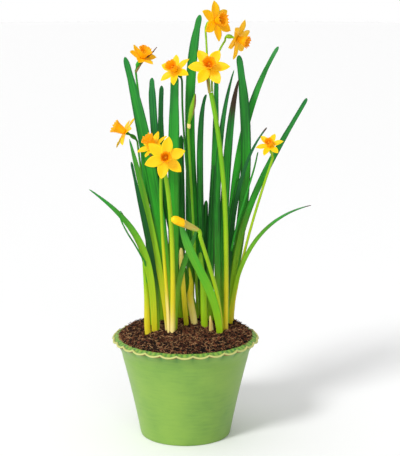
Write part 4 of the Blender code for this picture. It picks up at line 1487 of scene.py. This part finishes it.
class DAFFODIL_OT_stage(bpy.types.Operator):
    """Make the pale floor, the soft lights and the camera"""
    bl_idname = "daffodil.stage"
    bl_label = "Stage"

    def execute(self, context):
        look = context.scene.daffodil_looks.stage
        ground = bmesh.new()
        bmesh.ops.create_circle(ground, cap_ends=True, segments=96, radius=6.0)
        data = bpy.data.meshes.new("floor")
        ground.to_mesh(data)
        ground.free()
        finish = Finish("floor", Roughness=0.6, Specular_IOR_Level=0.2)
        data.materials.append(finish.set(Base_Color=tuple(look.floor)))
        floor = bpy.data.objects.new("floor", data)
        context.scene.collection.objects.link(floor)
        lamp("key", "SUN", KEY_PLACE, look.key).angle = radians(14)
        lamp("fill", "AREA", FILL_PLACE, look.fill).size = 0.9
        context.scene.world = studio_world(look.sky)
        context.scene.view_settings.view_transform = "Standard"
        set_camera(context.scene)
        return {"FINISHED"}


def set_camera(scene):
    """A long lens a little above the flowers, looking down at the middle of the plant."""
    camera = bpy.data.cameras.new("view")
    camera.sensor_width = 36.0
    camera.lens = CAMERA_LENS
    camera.clip_start = 0.01
    rise = radians(CAMERA_RISE)
    back = Vector((0.0, -cos(rise), sin(rise)))
    scene.camera = hold("view", camera, Vector(AIM) + back * CAMERA_DISTANCE, AIM)


class DAFFODIL_PT_panel(bpy.types.Panel):
    """Lists the pieces in the order in which they are made"""
    bl_label = "Potted Daffodils"
    bl_space_type = "VIEW_3D"
    bl_region_type = "UI"
    bl_category = "Daffodils"

    def draw(self, context):
        for operator in OPERATORS:
            self.layout.operator(operator.bl_idname)
        looks = context.scene.daffodil_looks
        for group in (looks.pot, looks.peat, looks.greens, looks.flower, looks.paper,
                      looks.stage):
            box = self.layout.box()
            for name in group.bl_rna.properties.keys():
                if name not in ("rna_type", "name"):
                    box.prop(group, name)


GROUPS = (PotLook, PeatLook, GreensLook, FlowerLook, PaperLook, StageLook, DaffodilLooks)
OPERATORS = (DAFFODIL_OT_stage, DAFFODIL_OT_pot, DAFFODIL_OT_peat, DAFFODIL_OT_bulbs,
             DAFFODIL_OT_leaves, DAFFODIL_OT_stems, DAFFODIL_OT_flowers, DAFFODIL_OT_buds,
             DAFFODIL_OT_sheaths)


def register():
    for cls in (*GROUPS, *OPERATORS, DAFFODIL_PT_panel):
        bpy.utils.register_class(cls)
    bpy.types.Scene.daffodil_looks = bpy.props.PointerProperty(
        name="Daffodils", description="Sizes and colours", type=DaffodilLooks)


def unregister():
    del bpy.types.Scene.daffodil_looks
    for cls in reversed((*GROUPS, *OPERATORS, DAFFODIL_PT_panel)):
        bpy.utils.unregister_class(cls)


def main():
    register()
    for operator in OPERATORS:
        group, name = operator.bl_idname.split(".")
        getattr(getattr(bpy.ops, group), name)()


if __name__ == "__main__":
    main()
